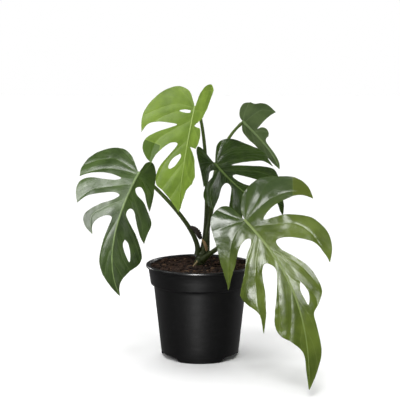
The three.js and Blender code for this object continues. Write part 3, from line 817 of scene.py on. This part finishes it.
class Midrib:
    def __init__(self, leaf):
        self.spine = np.array(leaf["spine"], float)
        self.face = unit(np.array(leaf["face"], float))
        self.back = leaf["back"]
        self.times = np.linspace(0, 1, 401)
        steps = np.linalg.norm(np.diff(self.points(self.times), axis=0), axis=1)
        self.reach = np.concatenate([[0], np.cumsum(steps)])
        self.total = self.reach[-1]
        self.length = self.total - self.back

    def points(self, t):
        a, b, c, d = self.spine
        t = np.asarray(t)[:, None]
        return (1 - t) ** 3 * a + 3 * t * (1 - t) ** 2 * b + 3 * t * t * (1 - t) * c + t ** 3 * d

    def slopes(self, t):
        a, b, c, d = self.spine
        t = np.asarray(t)[:, None]
        return unit((1 - t) ** 2 * (b - a) + 2 * t * (1 - t) * (c - b) + t * t * (d - c))

    def frame(self, along):
        """Part of the way to the tip, midrib point, upward normal and leftward direction."""
        reach = np.asarray(along, float) + self.back
        within = np.clip(reach, 0, self.total)
        part = within / self.total
        t = np.interp(within, self.reach, self.times)
        tangent = self.slopes(t)
        origin = self.points(t) + tangent * (reach - within)[:, None]
        normal = self.face[0] * (1 - part)[:, None] + self.face[1] * part[:, None]
        normal = unit(normal - tangent * np.sum(normal * tangent, axis=1)[:, None])
        return part, origin, normal, np.cross(normal, tangent)


def bent(midrib, half, side, along, out, height):
    """Places in space of flat points of one half blade, in mm."""
    part, origin, normal, left = midrib.frame(along)
    fold = np.radians(half["fold"][0] * (1 - part) + half["fold"][1] * part)
    curl = np.radians(half["curl"][0] * (1 - part) + half["curl"][1] * part) / 100
    curl = np.where(np.abs(curl) < 1e-6, 1e-6, curl)
    tilt = fold + curl * out
    sideways = (np.sin(tilt) - np.sin(fold)) / curl - height * np.sin(tilt)
    upwards = (np.cos(fold) - np.cos(tilt)) / curl + height * np.cos(tilt)
    return origin + left * (side * sideways)[:, None] + normal * upwards[:, None]


print("midrib lengths, mm:", {n: round(Midrib(leaf).length) for n, leaf in LEAVES.items()})

# %% [markdown]
# ## The flat blade
#
# Each half is filled with small triangles. The edge is sampled about every two millimetres on
# smooth curves, a honeycomb of points fills the inside, and three rows of points follow every
# vein so that its groove is crisp. A constrained Delaunay triangulation joins them.

# %% Edge curves
STEP = 2.2
TIP_END = 1  # from an outline's last point to the end of its midrib


def smooth_stretch(points):
    """A smooth curve through the points, sampled about every STEP millimetres."""
    p = np.array([points[0], *points, points[-1]], float)
    sampled = []
    for i in range(1, len(p) - 2):
        v0, v1 = (p[i + 1] - p[i - 1]) / 2, (p[i + 2] - p[i]) / 2
        count = max(2, math.ceil(np.linalg.norm(p[i + 1] - p[i]) / STEP))
        t = (np.arange(1, count + 1) / count)[:, None]
        a, b = p[i], p[i + 1]
        sampled.append((2 * a - 2 * b + v0 + v1) * t ** 3
                       + (-3 * a + 3 * b - 2 * v0 - v1) * t ** 2 + v0 * t + a)
    return np.concatenate(sampled)


def half_outline(half):
    start = np.array([[0.0, 0.0]])
    edge = [start]
    for stretch in half["edge"]:
        edge.append(smooth_stretch([tuple(edge[-1][-1]), *stretch]))
    tip = half["edge"][-1][-1][0] + TIP_END
    rows = np.linspace(tip, 0, math.ceil(tip / STEP) + 1)[:-1]
    edge.append(np.stack([rows, 0 * rows], axis=1))
    return np.concatenate(edge)


# %% Distances and insides
def segment_distance(points, path):
    """Nearest distance from each point to a path, and its side (positive towards the tip)."""
    a, b = path[:-1][None], path[1:][None]
    p = points[:, None]
    d = b - a
    t = np.sum((p - a) * d, axis=2) / np.maximum(np.sum(d * d, axis=2), 1e-9)
    away = p - (a + np.clip(t, 0, 1)[..., None] * d)
    distance = np.linalg.norm(away, axis=2)
    nearest = distance.argmin(axis=1)
    rows = np.arange(len(points))
    step, offset = d[0][nearest], (p - a)[rows, nearest]
    side = np.sign(step[:, 1] * offset[:, 0] - step[:, 0] * offset[:, 1])
    return distance[rows, nearest], side


def inside_path(points, path):
    x, y = points[:, 0][:, None], points[:, 1][:, None]
    ax, ay = path[:, 0][None], path[:, 1][None]
    bx, by = np.roll(path, -1, axis=0)[:, 0][None], np.roll(path, -1, axis=0)[:, 1][None]
    spans = (ay > y) != (by > y)
    rise = np.where(by == ay, 1e-12, by - ay)
    crossing = spans & (x < ax + (y - ay) / rise * (bx - ax))
    return crossing.sum(axis=1) % 2 == 1


# %% Vein coordinates
VEIN_SPAN = 22.0


def vein_path(vein):
    path = np.vstack([[vein[0]], smooth_stretch(vein)])
    ahead = unit(path[-1] - path[-2]) * 90
    return np.vstack([path, path[-1] + ahead])


def vein_coordinates(half, flat):
    """Counts veins from the foot of the blade, whole numbers on the veins, and gives the
    distance between the two veins that a point lies between."""
    signed = []
    for vein in half["veins"]:
        distance, side = segment_distance(flat, vein_path(vein))
        signed.append(distance * side)
    signed = np.array(signed)
    count = len(signed)
    tipward = np.where(signed > 0, np.arange(count)[:, None], -1).max(axis=0)
    rows = np.arange(len(flat))
    below = signed[np.clip(tipward, 0, count - 1), rows]
    above = signed[np.clip(tipward + 1, 0, count - 1), rows]
    gap = np.where(tipward < 0, VEIN_SPAN,
                   np.where(tipward == count - 1, VEIN_SPAN, np.maximum(below - above, 0.5)))
    phase = np.where(tipward < 0, above / gap, tipward + np.clip(below / gap, 0, 3))
    return phase, gap


# %% Fill a half with triangles
VEIN_ROW_OFFSET = 1.1  # of the two rows of points beside each vein
VEIN_CLEARANCE = 1.2  # from a vein's points to the honeycomb's
EDGE_CLEARANCE = 0.8


def flat_half(half):
    """Points and triangles of a pressed half blade, and the outlines they end at."""
    outline = half_outline(half)
    holes = [smooth_stretch([*points, points[0]]) for points in half.get("holes", [])]
    low, high = outline.min(axis=0), outline.max(axis=0)
    rows = np.arange(low[1], high[1], STEP * 0.87)
    grid = [np.stack([np.arange(low[0], high[0], STEP) + (i % 2) * STEP / 2,
                      np.full(len(np.arange(low[0], high[0], STEP)), y)], axis=1)
            for i, y in enumerate(rows)]
    grid = np.concatenate(grid)
    veins = []
    for vein in half["veins"]:
        path = np.vstack([[vein[0]], smooth_stretch(vein)])
        across = unit(np.gradient(path, axis=0))[:, ::-1] * (-1, 1)
        veins += [path, path + across * VEIN_ROW_OFFSET, path - across * VEIN_ROW_OFFSET]
    veins = np.concatenate(veins)
    near = np.zeros(len(grid), bool)
    for v in veins:
        near |= np.sum((grid - v) ** 2, axis=1) < VEIN_CLEARANCE ** 2
    inner = np.vstack([grid[~near], veins])
    keep = inside_path(inner, outline)
    for path in [outline, *holes]:
        closed = np.vstack([path, path[:1]])
        keep &= segment_distance(inner, closed)[0] > EDGE_CLEARANCE
    for hole in holes:
        keep &= ~inside_path(inner, hole)
    points = [Vector(p) for p in outline]
    edges = [(i, (i + 1) % len(outline)) for i in range(len(outline))]
    for hole in holes:
        first = len(points)
        points += [Vector(p) for p in hole]
        edges += [(first + i, first + (i + 1) % len(hole)) for i in range(len(hole))]
    points += [Vector(p) for p in inner[keep]]
    made = delaunay_2d_cdt(points, edges, [], 0, 1e-4)
    flat = np.array([tuple(v) for v in made[0]])
    faces = np.array([f for f in made[2]])
    middles = flat[faces].mean(axis=1)
    shown = inside_path(middles, outline)
    for hole in holes:
        shown &= ~inside_path(middles, hole)
    return flat, faces[shown], [outline, *holes]


# %% [markdown]
# ## Relief of the blade
#
# A monstera blade is quilted: it sinks in a groove along each vein on the upper side and
# swells between them, and its edge waves. This relief is made in the mesh, so that light
# breaks on it from every side, and the fine net of smaller veins is left to the material.

# %% Relief
GROOVE_DEPTH = 0.45
GROOVE_WIDTH = 1.3
SWELL_HEIGHT = 0.9
WAVE_LENGTH = 34
RIPPLE_LENGTH = 9
RIPPLE_HEIGHT = 0.2
EDGE_RIPPLE = 0.25  # part of the wave's height


def relief(flat, phase, gap, margin, seed, wave):
    """Height of the surface over the flat blade, in mm. `wave` is how much the edge waves."""
    distance = np.abs(phase - np.round(phase)) * gap
    out = flat[:, 1]
    groove = -GROOVE_DEPTH * np.exp(-(distance / GROOVE_WIDTH) ** 2) * np.clip(out / 6, 0, 1)
    swell = np.sin(np.pi * (phase - np.floor(phase))) ** 2 * np.clip(gap / VEIN_SPAN, 0, 1.2)
    swell = SWELL_HEIGHT * swell * np.clip(out / 14, 0, 1)
    waves = np.array([noise.noise(Vector((a / WAVE_LENGTH, o / WAVE_LENGTH, seed)))
                      for a, o in flat])
    ripple = np.array([noise.noise(Vector((a / RIPPLE_LENGTH, o / RIPPLE_LENGTH, seed + 5)))
                       for a, o in flat])
    rim = np.exp(-margin / 5)
    return (groove + swell + wave * waves * np.clip(out / 30, 0, 1.5)
            + RIPPLE_HEIGHT * ripple + EDGE_RIPPLE * wave * ripple * rim * np.clip(out / 20, 0, 1))


# %% [markdown]
# ## A whole blade
#
# Both halves are bent into place as one sheet, sewn along the midline and thickened, with the
# underside in a material of its own. A tapering rod that follows the midrib makes it stand
# out. The values for the finish are stored at each point: where it lies among the veins, how
# far along and out, how far from the edge, and how far inside an accent patch.

# %% The midrib's rod
RIB_SIDES = 12
RIB_STEPS = 70
RIB_TIP_RADIUS = 0.45
RIB_FOOT_GROWTH = 1.65


def rib_mesh(midrib):
    """The raised midrib: a tapering rod, flatter on the upper side."""
    along = np.linspace(-2.5, midrib.length + 0.5, RIB_STEPS)
    part = np.clip(along / midrib.length, 0, 1)
    radius = RIB_TIP_RADIUS + RIB_FOOT_GROWTH * (1 - part) ** 0.8
    _, origin, normal, left = midrib.frame(along)
    angles = np.arange(RIB_SIDES) / RIB_SIDES * 2 * np.pi
    upward = np.where(np.sin(angles) > 0, 0.55, 0.95) * np.sin(angles)
    ring = (origin[:, None] + left[:, None] * (radius[:, None] * np.cos(angles))[..., None]
            + normal[:, None] * (radius[:, None] * upward)[..., None])
    points = ring.reshape(-1, 3)
    faces = []
    for i in range(RIB_STEPS - 1):
        for j in range(RIB_SIDES):
            k = (j + 1) % RIB_SIDES
            a, b = i * RIB_SIDES, (i + 1) * RIB_SIDES
            faces.append((a + j, a + k, b + k, b + j))
    faces.append(tuple(range(RIB_SIDES))[::-1])
    faces.append(tuple((RIB_STEPS - 1) * RIB_SIDES + j for j in range(RIB_SIDES)))
    return points, faces


# %% Both halves as one sheet
FAR = 5.0  # stands for well inside or well outside a patch
ON_MIDLINE = 1e-3
NO_MARGIN = 99.0  # points on the midline aren't at a free edge


def accent_depth(half, flat):
    """How far inside the half's patch of another green a flat point is, in mm."""
    depth = np.full(len(flat), FAR if "accent" in half else -FAR)
    for corner, inward in half.get("accent", ()):
        depth = np.minimum(depth, (flat - corner) @ unit(np.array(inward, float)))
    return depth


def sheet(name, leaf, midrib, seed, wave):
    """Both halves of a blade, bent into place, with the values that its finish needs."""
    points, faces, columns = [], [], {}
    offset = 0
    for key, side in (("left", 1), ("right", -1)):
        half = leaf[key]
        flat, triangles, rims = flat_half(half)
        phase, gap = vein_coordinates(half, flat)
        margin = np.min([segment_distance(flat, np.vstack([r, r[:1]]))[0] for r in rims], axis=0)
        inner = np.where(flat[:, 1] < ON_MIDLINE, NO_MARGIN, margin)
        height = relief(flat, phase, gap, inner, seed + side, wave)
        stretch = midrib.length / (half["edge"][-1][-1][0] + TIP_END)
        points.append(bent(midrib, half, side, flat[:, 0] * stretch, flat[:, 1], height))
        upward = triangles if side > 0 else triangles[:, ::-1]
        faces += [tuple(int(i) + offset for i in f) for f in upward]
        offset += len(flat)
        for column, values in (("phase", phase), ("gap", gap), ("out", flat[:, 1]),
                               ("along", flat[:, 0] / midrib.length), ("margin", margin),
                               ("accent", accent_depth(half, flat))):
            columns.setdefault(column, []).append(values)
    piece = new_object(name, np.concatenate(points), faces)
    for column, values in columns.items():
        add_attribute(piece.data, column, np.concatenate(values))
    return piece


# %% Sew a blade together
BLADE_THICKNESS = 0.7
SEWING_DISTANCE = 0.05
TOP_TO_UNDERSIDE = 1  # steps in the material list
RIB_SLOT = 2


def blade(name, leaf, seed, wave, materials):
    """A whole leaf: its sheet, sewn along the midline and thickened, and its midrib."""
    midrib = Midrib(leaf)
    piece = sheet(name, leaf, midrib, seed, wave)
    rib_points, rib_faces = rib_mesh(midrib)
    rib = new_object(name + "_rib", rib_points, rib_faces)
    for material in materials:
        piece.data.materials.append(material)
        rib.data.materials.append(material)
    rib.data.polygons.foreach_set("material_index", [RIB_SLOT] * len(rib_faces))
    edit_whole(piece, bpy.ops.mesh.remove_doubles, threshold=SEWING_DISTANCE * MM)
    thicken(piece, BLADE_THICKNESS, TOP_TO_UNDERSIDE)
    edit_whole(rib, bpy.ops.mesh.normals_make_consistent, inside=False)
    piece.select_set(True)
    bpy.context.view_layer.objects.active = piece
    bpy.ops.object.join()
    return piece


# %% [markdown]
# ### Leaf finishes
#
# The upper side of a monstera leaf is waxy: its gloss breaks up in streaks that run with the
# veins. The side veins show as thin paler lines, and between them lies a net of small ones.
# The vein coordinates stored in the mesh place them: the distance to the nearest vein is the
# fraction of the vein count times the gap. A leaf may be painted bluer towards its foot: on the
# right leaf this is a painted reflection of the blue-grey sheen its upper lobe mirrors. An accent
# has a torn, paler line along its border. The underside is paler and duller, and the midrib
# is pale green.

# %% Leaf materials
def leaf_shader(name, dark, light, vein, accent, gloss, shine, vein_width=0.55, under=False,
                foot=None):
    leaf = Shader(name)
    phase, gap = leaf.attribute("phase"), leaf.attribute("gap")
    out, along = leaf.attribute("out"), leaf.attribute("along")
    where = leaf.place()
    offset = leaf.math("ABSOLUTE", leaf.math("SUBTRACT", phase, leaf.math("ROUND", phase)))
    distance = leaf.math("MULTIPLY", offset, gap)
    line = leaf.span(distance, 0.15, vein_width, 1.0, 0.0)
    halo = leaf.span(distance, 0.3, 4.5, 1.0, 0.0)
    flow = leaf.add("ShaderNodeCombineXYZ", _0=leaf.math("MULTIPLY", phase, 9.0),
                    _1=leaf.math("MULTIPLY", out, 0.035), _2=leaf.math("MULTIPLY", along, 2.0))
    streaks = leaf.noise(flow.outputs[0], 1.0, 5.0, 0.6)
    patches = leaf.noise(where, 26.0, 3.0)
    net = leaf.add("ShaderNodeTexVoronoi", {"feature": "DISTANCE_TO_EDGE"},
                   Vector=where, Scale=330.0).outputs["Distance"]
    meshwork = leaf.span(net, 0.0, 0.12, 1.0, 0.0)
    colour = leaf.blend(leaf.span(patches, 0.3, 0.7), dark, light)
    for mask, share, over in ((leaf.span(streaks, 0.35, 0.75), 0.35, light),
                              (halo, 0.08, vein), (line, 0.45, vein), (meshwork, 0.06, vein)):
        colour = leaf.blend(leaf.math("MULTIPLY", mask, share), colour, over)
    # Painted reflection: the blade turns a bluer dark green towards its foot, for the blue-grey sheen
    # mirrored there.
    if foot is not None:
        colour = leaf.blend(leaf.span(along, -0.12, 0.22, 0.75, 0.0), colour, foot)
    patch = leaf.attribute("accent")
    colour = leaf.blend(leaf.span(patch, -0.3, 0.4), colour, accent)
    torn = leaf.math("MULTIPLY", leaf.span(patch, -1.1, -0.2), leaf.span(patch, 0.5, -0.1))
    colour = leaf.blend(leaf.math("MULTIPLY", torn, 0.5), colour, vein)
    rim = leaf.span(leaf.attribute("margin"), 0.0, 0.8, 0.3, 0.0)
    colour = leaf.blend(rim, colour, vein)
    low, high = gloss
    rough = leaf.span(streaks, 0.3, 0.75, low, high, "LINEAR")
    height = leaf.math("ADD", leaf.math("MULTIPLY", streaks, 0.6),
                       leaf.math("MULTIPLY", meshwork, -0.12))
    normal = leaf.bump(height, 0.0006, 0.22 if under else 0.55)
    leaf.set(leaf.principled, Base_Color=colour, Roughness=rough, Normal=normal,
             Specular_IOR_Level=shine)
    return leaf.material


def rib_shader(name, pale, deep):
    rib = Shader(name)
    where = rib.place()
    grain = rib.noise(rib.stretched(where, (1, 1, 0.3)), 240.0, 3.0)
    rib.set(rib.principled, Base_Color=rib.blend(rib.span(grain, 0.3, 0.7), pale, deep),
            Roughness=0.42, Normal=rib.bump(grain, 0.0002, 0.5))
    return rib.material


LEAF_LOOKS = {
    "left": {"dark": 0x2b3f12, "light": 0x4a612a, "vein": 0x6a8048, "under": 0x6f8a55,
             "rib": 0x80985a, "gloss": (0.24, 0.4), "shine": 0.5, "seed": 3, "wave": 1.6},
    "young": {"dark": 0x5e7a18, "light": 0x809c34, "vein": 0x93ab4e, "under": 0x8aa055,
              "rib": 0x93ae42, "gloss": (0.4, 0.56), "shine": 0.3, "seed": 8, "wave": 0.9,
              "accent": 0x4c6a03},
    # The middle leaf's greens are the darkest: partly its own deep green, partly painted shade for the
    # shadow it sits in.
    "middle": {"dark": 0x1f300c, "light": 0x364b19, "vein": 0x50642c, "under": 0x4c6136,
               "rib": 0x627c34, "gloss": (0.2, 0.34), "shine": 0.45, "seed": 15, "wave": 1.6},
    "right": {"dark": 0x425214, "light": 0x63742a, "vein": 0x74853f, "under": 0x6f8248,
              "rib": 0x76893f, "gloss": (0.12, 0.26), "shine": 0.65, "seed": 21, "wave": 2.2,
              # foot: a painted reflection, the blue-grey sheen that the upper lobe mirrors.
              "accent": 0x525f1c, "foot": 0x2f4229},
    "upper": {"dark": 0x3e5027, "light": 0x586a3e, "vein": 0x74885a, "under": 0x788a5e,
              "rib": 0x70864c, "gloss": (0.36, 0.5), "shine": 0.3, "seed": 31, "wave": 1.2},
}

# %% Make the five leaves
for name, leaf in LEAVES.items():
    look = LEAF_LOOKS[name]
    top = leaf_shader(f"{name}_leaf_top", rgb(look["dark"]), rgb(look["light"]),
                      rgb(look["vein"]), rgb(look.get("accent", look["light"])),
                      look["gloss"], look["shine"],
                      foot=rgb(look["foot"]) if "foot" in look else None)
    below = leaf_shader(f"{name}_leaf_underside", rgb(look["under"]), rgb(look["under"]),
                        rgb(look["rib"]), rgb(look["under"]), gloss=(0.5, 0.62), shine=0.3,
                        vein_width=0.9, under=True)
    rib = rib_shader(f"{name}_leaf_rib", rgb(look["rib"]), rgb(look["vein"]))
    piece = blade(f"monstera_leaf_{name}", leaf, look["seed"], look["wave"], [top, below, rib])
    finish_piece(piece, f"leaf_{name}", smooth_angle=50)

# %% [markdown]
# ## Stem and stalks
#
# The stem is short and leans. Each leaf stands on a long stalk that is thick and flat-sided
# where it clasps the stem, slims down upwards, and swells again in a pale knee just below the
# blade, which is what turns a monstera's leaf to the light. A curve with a round bevel gives
# this: every point of it has its own radius. The stem is one more such tube, with the scars
# of two old leaves round it.

# %% A tapering tube from a curve
def tube(name, points, radii, sides=20):
    data = bpy.data.curves.new(name, "CURVE")
    data.dimensions = "3D"
    data.bevel_depth = MM
    data.bevel_resolution = sides // 4 - 1
    data.use_fill_caps = True
    spline = data.splines.new("POLY")
    spline.points.add(len(points) - 1)
    for spot, place, radius in zip(spline.points, points, radii):
        spot.co = (*(Vector(place) * MM), 1)
        spot.radius = radius
    select_only(put_in_scene(name, data))
    bpy.ops.object.convert(target="MESH")
    return bpy.context.active_object


def bezier_points(corners, count):
    a, b, c, d = (Vector(corner) for corner in corners)
    parts = [i / (count - 1) for i in range(count)]
    return [(1 - t) ** 3 * a + 3 * t * (1 - t) ** 2 * b + 3 * t * t * (1 - t) * c + t ** 3 * d
            for t in parts]


STALKS = {
    "left": {"foot": (-3.8, -3.5, 160), "rise": (5, -2, 201), "under": (10, 20, -9), "girth": 4.2},
    "young": {"foot": (2.5, 4.2, 160), "rise": (19, 10, 231), "under": (15, 43, 0), "girth": 3.4},
    "middle": {"foot": (5, -6, 160), "rise": (13, -8, 222), "under": (14, 24, -14), "girth": 3.4},
    "right": {"foot": (5, -10, 154), "rise": (24, -28, 176), "under": (6, 16, -17), "girth": 4.2},
    "upper": {"foot": (11, 5, 160), "rise": (12, 42, 316), "under": (-20, 26, -20), "girth": 3.4},
}
STALK_END = 2.3  # radius under the blade
STALK_DROP = 1.2  # from the blade's foot to the end of its stalk
STALK_STEPS = 40
CLASP_GROWTH = 0.35
CLASP_END = 0.12  # parts of the way up the stalk
KNEE_GROWTH = 0.28
KNEE_PLACE = 0.93
KNEE_LENGTH = 0.045

stalk_skin = Shader("stalk_skin")
where = stalk_skin.place()
patches = stalk_skin.noise(stalk_skin.stretched(where, (1, 1, 0.25)), 120.0, 4.0)
flecks = stalk_skin.span(stalk_skin.noise(where, 700.0, 2.0), 0.6, 0.72)
part = stalk_skin.attribute("part")
low_colour = stalk_skin.blend(patches, rgb(0x252c10), rgb(0x3c4620))
high_colour = stalk_skin.blend(patches, rgb(0x40521f), rgb(0x5b6d31))
skin = stalk_skin.blend(stalk_skin.span(part, 0.1, 0.8), low_colour, high_colour)
skin = stalk_skin.blend(stalk_skin.math("MULTIPLY", flecks, 0.35), skin, rgb(0x7e8a52))
stalk_skin.set(stalk_skin.principled, Base_Color=skin,
               Roughness=stalk_skin.span(patches, 0.3, 0.7, 0.36, 0.5, "LINEAR"),
               Normal=stalk_skin.bump(patches, 0.0005, 0.5), Specular_IOR_Level=0.25)

# %% Make the stalks
for name, stalk in STALKS.items():
    _, origin, normal, _ = Midrib(LEAVES[name]).frame([0.0])
    end = Vector(origin[0] - normal[0] * STALK_DROP)
    approach = end + Vector(stalk["under"])
    points = bezier_points([stalk["foot"], stalk["rise"], approach, end], STALK_STEPS)
    radii = []
    for i in range(STALK_STEPS):
        t = i / (STALK_STEPS - 1)
        clasp = 1 + CLASP_GROWTH * max(0, 1 - t / CLASP_END)
        knee = 1 + KNEE_GROWTH * math.exp(-((t - KNEE_PLACE) / KNEE_LENGTH) ** 2)
        radii.append((stalk["girth"] * (1 - t) + STALK_END * t) * clasp * knee)
    piece = tube(f"stalk_{name}", points, radii)
    line = np.array([tuple(p) for p in points]) * MM
    places = np.array([v.co for v in piece.data.vertices])
    nearest = np.linalg.norm(places[:, None] - line[None], axis=2).argmin(axis=1)
    add_attribute(piece.data, "part", nearest / (STALK_STEPS - 1))
    finish_piece(piece, f"petiole_{name}", stalk_skin.material)

# %% Stem
STEM_STEPS = 26
STEM_FOOT_RADIUS = 7.4
SCAR_HEIGHT = 0.5
SCAR_LENGTH = 0.03
SCAR_PLACES = (0.35, 0.62)
points = bezier_points([(-3, -3, 136), (-3, -3, 149), (4, -1.5, 153), (4, -1.5, 166)],
                       STEM_STEPS)
radii = []
for i in range(STEM_STEPS):
    t = i / (STEM_STEPS - 1)
    scar = sum(SCAR_HEIGHT * math.exp(-((t - place) / SCAR_LENGTH) ** 2) for place in SCAR_PLACES)
    rounding = 2.5 * max(0, (t - 0.9) / 0.1)
    radii.append(STEM_FOOT_RADIUS + t + scar - rounding)
stem = tube("main_stem_skin", points, radii, 28)
add_attribute(stem.data, "part", np.full(len(stem.data.vertices), 0.05))
finish_piece(stem, "main_stem", stalk_skin.material)

# %% [markdown]
# ## Dried sheaths and roots
#
# Each young leaf leaves a papery sheath behind when it opens. It dries dark brown or tan,
# curls round the stalk and frays along its edge. A strip of quads that follows a curve and
# rolls about it makes one, crinkled by noise and then given a thickness. A short bare root
# bends out of the crown, and the CAD model's root strands get the same skin.

# %% A dried sheath
SHEATH_THICKNESS = 0.35
FRAY = 0.3
CRINKLE_HEIGHT = 0.5
FRONT = Vector((0, -1, 0))


def dried_sheath(name, corners, width, roll, seed):
    """A crinkled strip, widest a third of the way up, that rolls round its own curve."""
    rows, columns = 46, 15
    spine = bezier_points(corners, rows)
    points = []
    for i, middle in enumerate(spine):
        t = i / (rows - 1)
        along = (spine[min(i + 1, rows - 1)] - spine[max(i - 1, 0)]).normalized()
        ahead = (FRONT - along * FRONT.dot(along)).normalized()
        side = along.cross(ahead)
        reach = width * (0.25 + 0.75 * math.sin(math.pi * min(1, 0.12 + 0.88 * t)) ** 0.7)
        for j in range(columns):
            u = 2 * j / (columns - 1) - 1
            fray = FRAY * abs(u) ** 3 * noise.noise(Vector((t * 14, u, seed)))
            angle = u * math.radians(roll)
            out = reach * (1 + fray) / math.radians(roll)
            crinkle = CRINKLE_HEIGHT * noise.noise(Vector((t * 9, u * 2.5, seed + 3)))
            points.append(middle + side * out * math.sin(angle)
                          + ahead * (out * (math.cos(angle) - 1) + crinkle))
    faces = [(i * columns + j, i * columns + j + 1, (i + 1) * columns + j + 1,
              (i + 1) * columns + j) for i in range(rows - 1) for j in range(columns - 1)]
    piece = new_object(name, points, faces)
    thicken(piece, SHEATH_THICKNESS)
    return piece


def papery(name, deep, pale):
    """Dry fibres that run along the sheath, with darker blotches."""
    skin = Shader(name)
    where = skin.place()
    fibres = skin.noise(skin.stretched(where, (1, 1, 0.12)), 900.0, 5.0, 0.65)
    blotches = skin.noise(where, 160.0, 3.0)
    tint = skin.blend(skin.span(fibres, 0.35, 0.7), deep, pale)
    tint = skin.blend(skin.span(blotches, 0.5, 0.75, 0.0, 0.6), tint, deep)
    skin.set(skin.principled, Base_Color=tint,
             Roughness=skin.span(fibres, 0.3, 0.7, 0.55, 0.8, "LINEAR"),
             Normal=skin.bump(fibres, 0.0004, 0.8))
    return skin.material


# %% Make the two sheaths
sheath = dried_sheath("sheath_on_left_stalk",
                      [(1, -10, 186), (-2, -13, 196), (-6, -12, 203), (-16, -9.5, 206)],
                      width=5.5, roll=70, seed=2)
dark_paper = papery("dark_papery_sheath", rgb(0x140e09), rgb(0x3b2a1b))
finish_piece(sheath, "dark_sheath", dark_paper)
sheath = dried_sheath("sheath_on_crown",
                      [(10, -13.5, 168), (10.5, -14.5, 175), (7, -14.5, 181), (3, -13.5, 187)],
                      width=2.6, roll=55, seed=9)
tan_paper = papery("tan_papery_sheath", rgb(0x6b4f2c), rgb(0xa98c5c))
finish_piece(sheath, "dry_sheath", tan_paper)

# %% Roots
ROOT_STEPS = 16
points = bezier_points([(-4, -12.5, 152), (-6, -14, 149), (-9, -15, 146), (-12, -16, 142)],
                       ROOT_STEPS)
radii = [1.6 - 0.6 * i / (ROOT_STEPS - 1) + 0.15 * math.sin(i * 1.9) for i in range(ROOT_STEPS)]
bare = Shader("root_skin")
where = bare.place()
grain = bare.noise(where, 300.0, 5.0)
bare.set(bare.principled, Base_Color=bare.blend(grain, rgb(0x6d5a3a), rgb(0xb8a67a)),
         Roughness=0.8, Normal=bare.bump(grain, 0.0004, 0.7))
finish_piece(tube("aerial_root_skin", points, radii), "aerial_root", bare.material)
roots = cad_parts["root_system"]
roots.data.materials.clear()
roots.data.materials.append(bare.material)
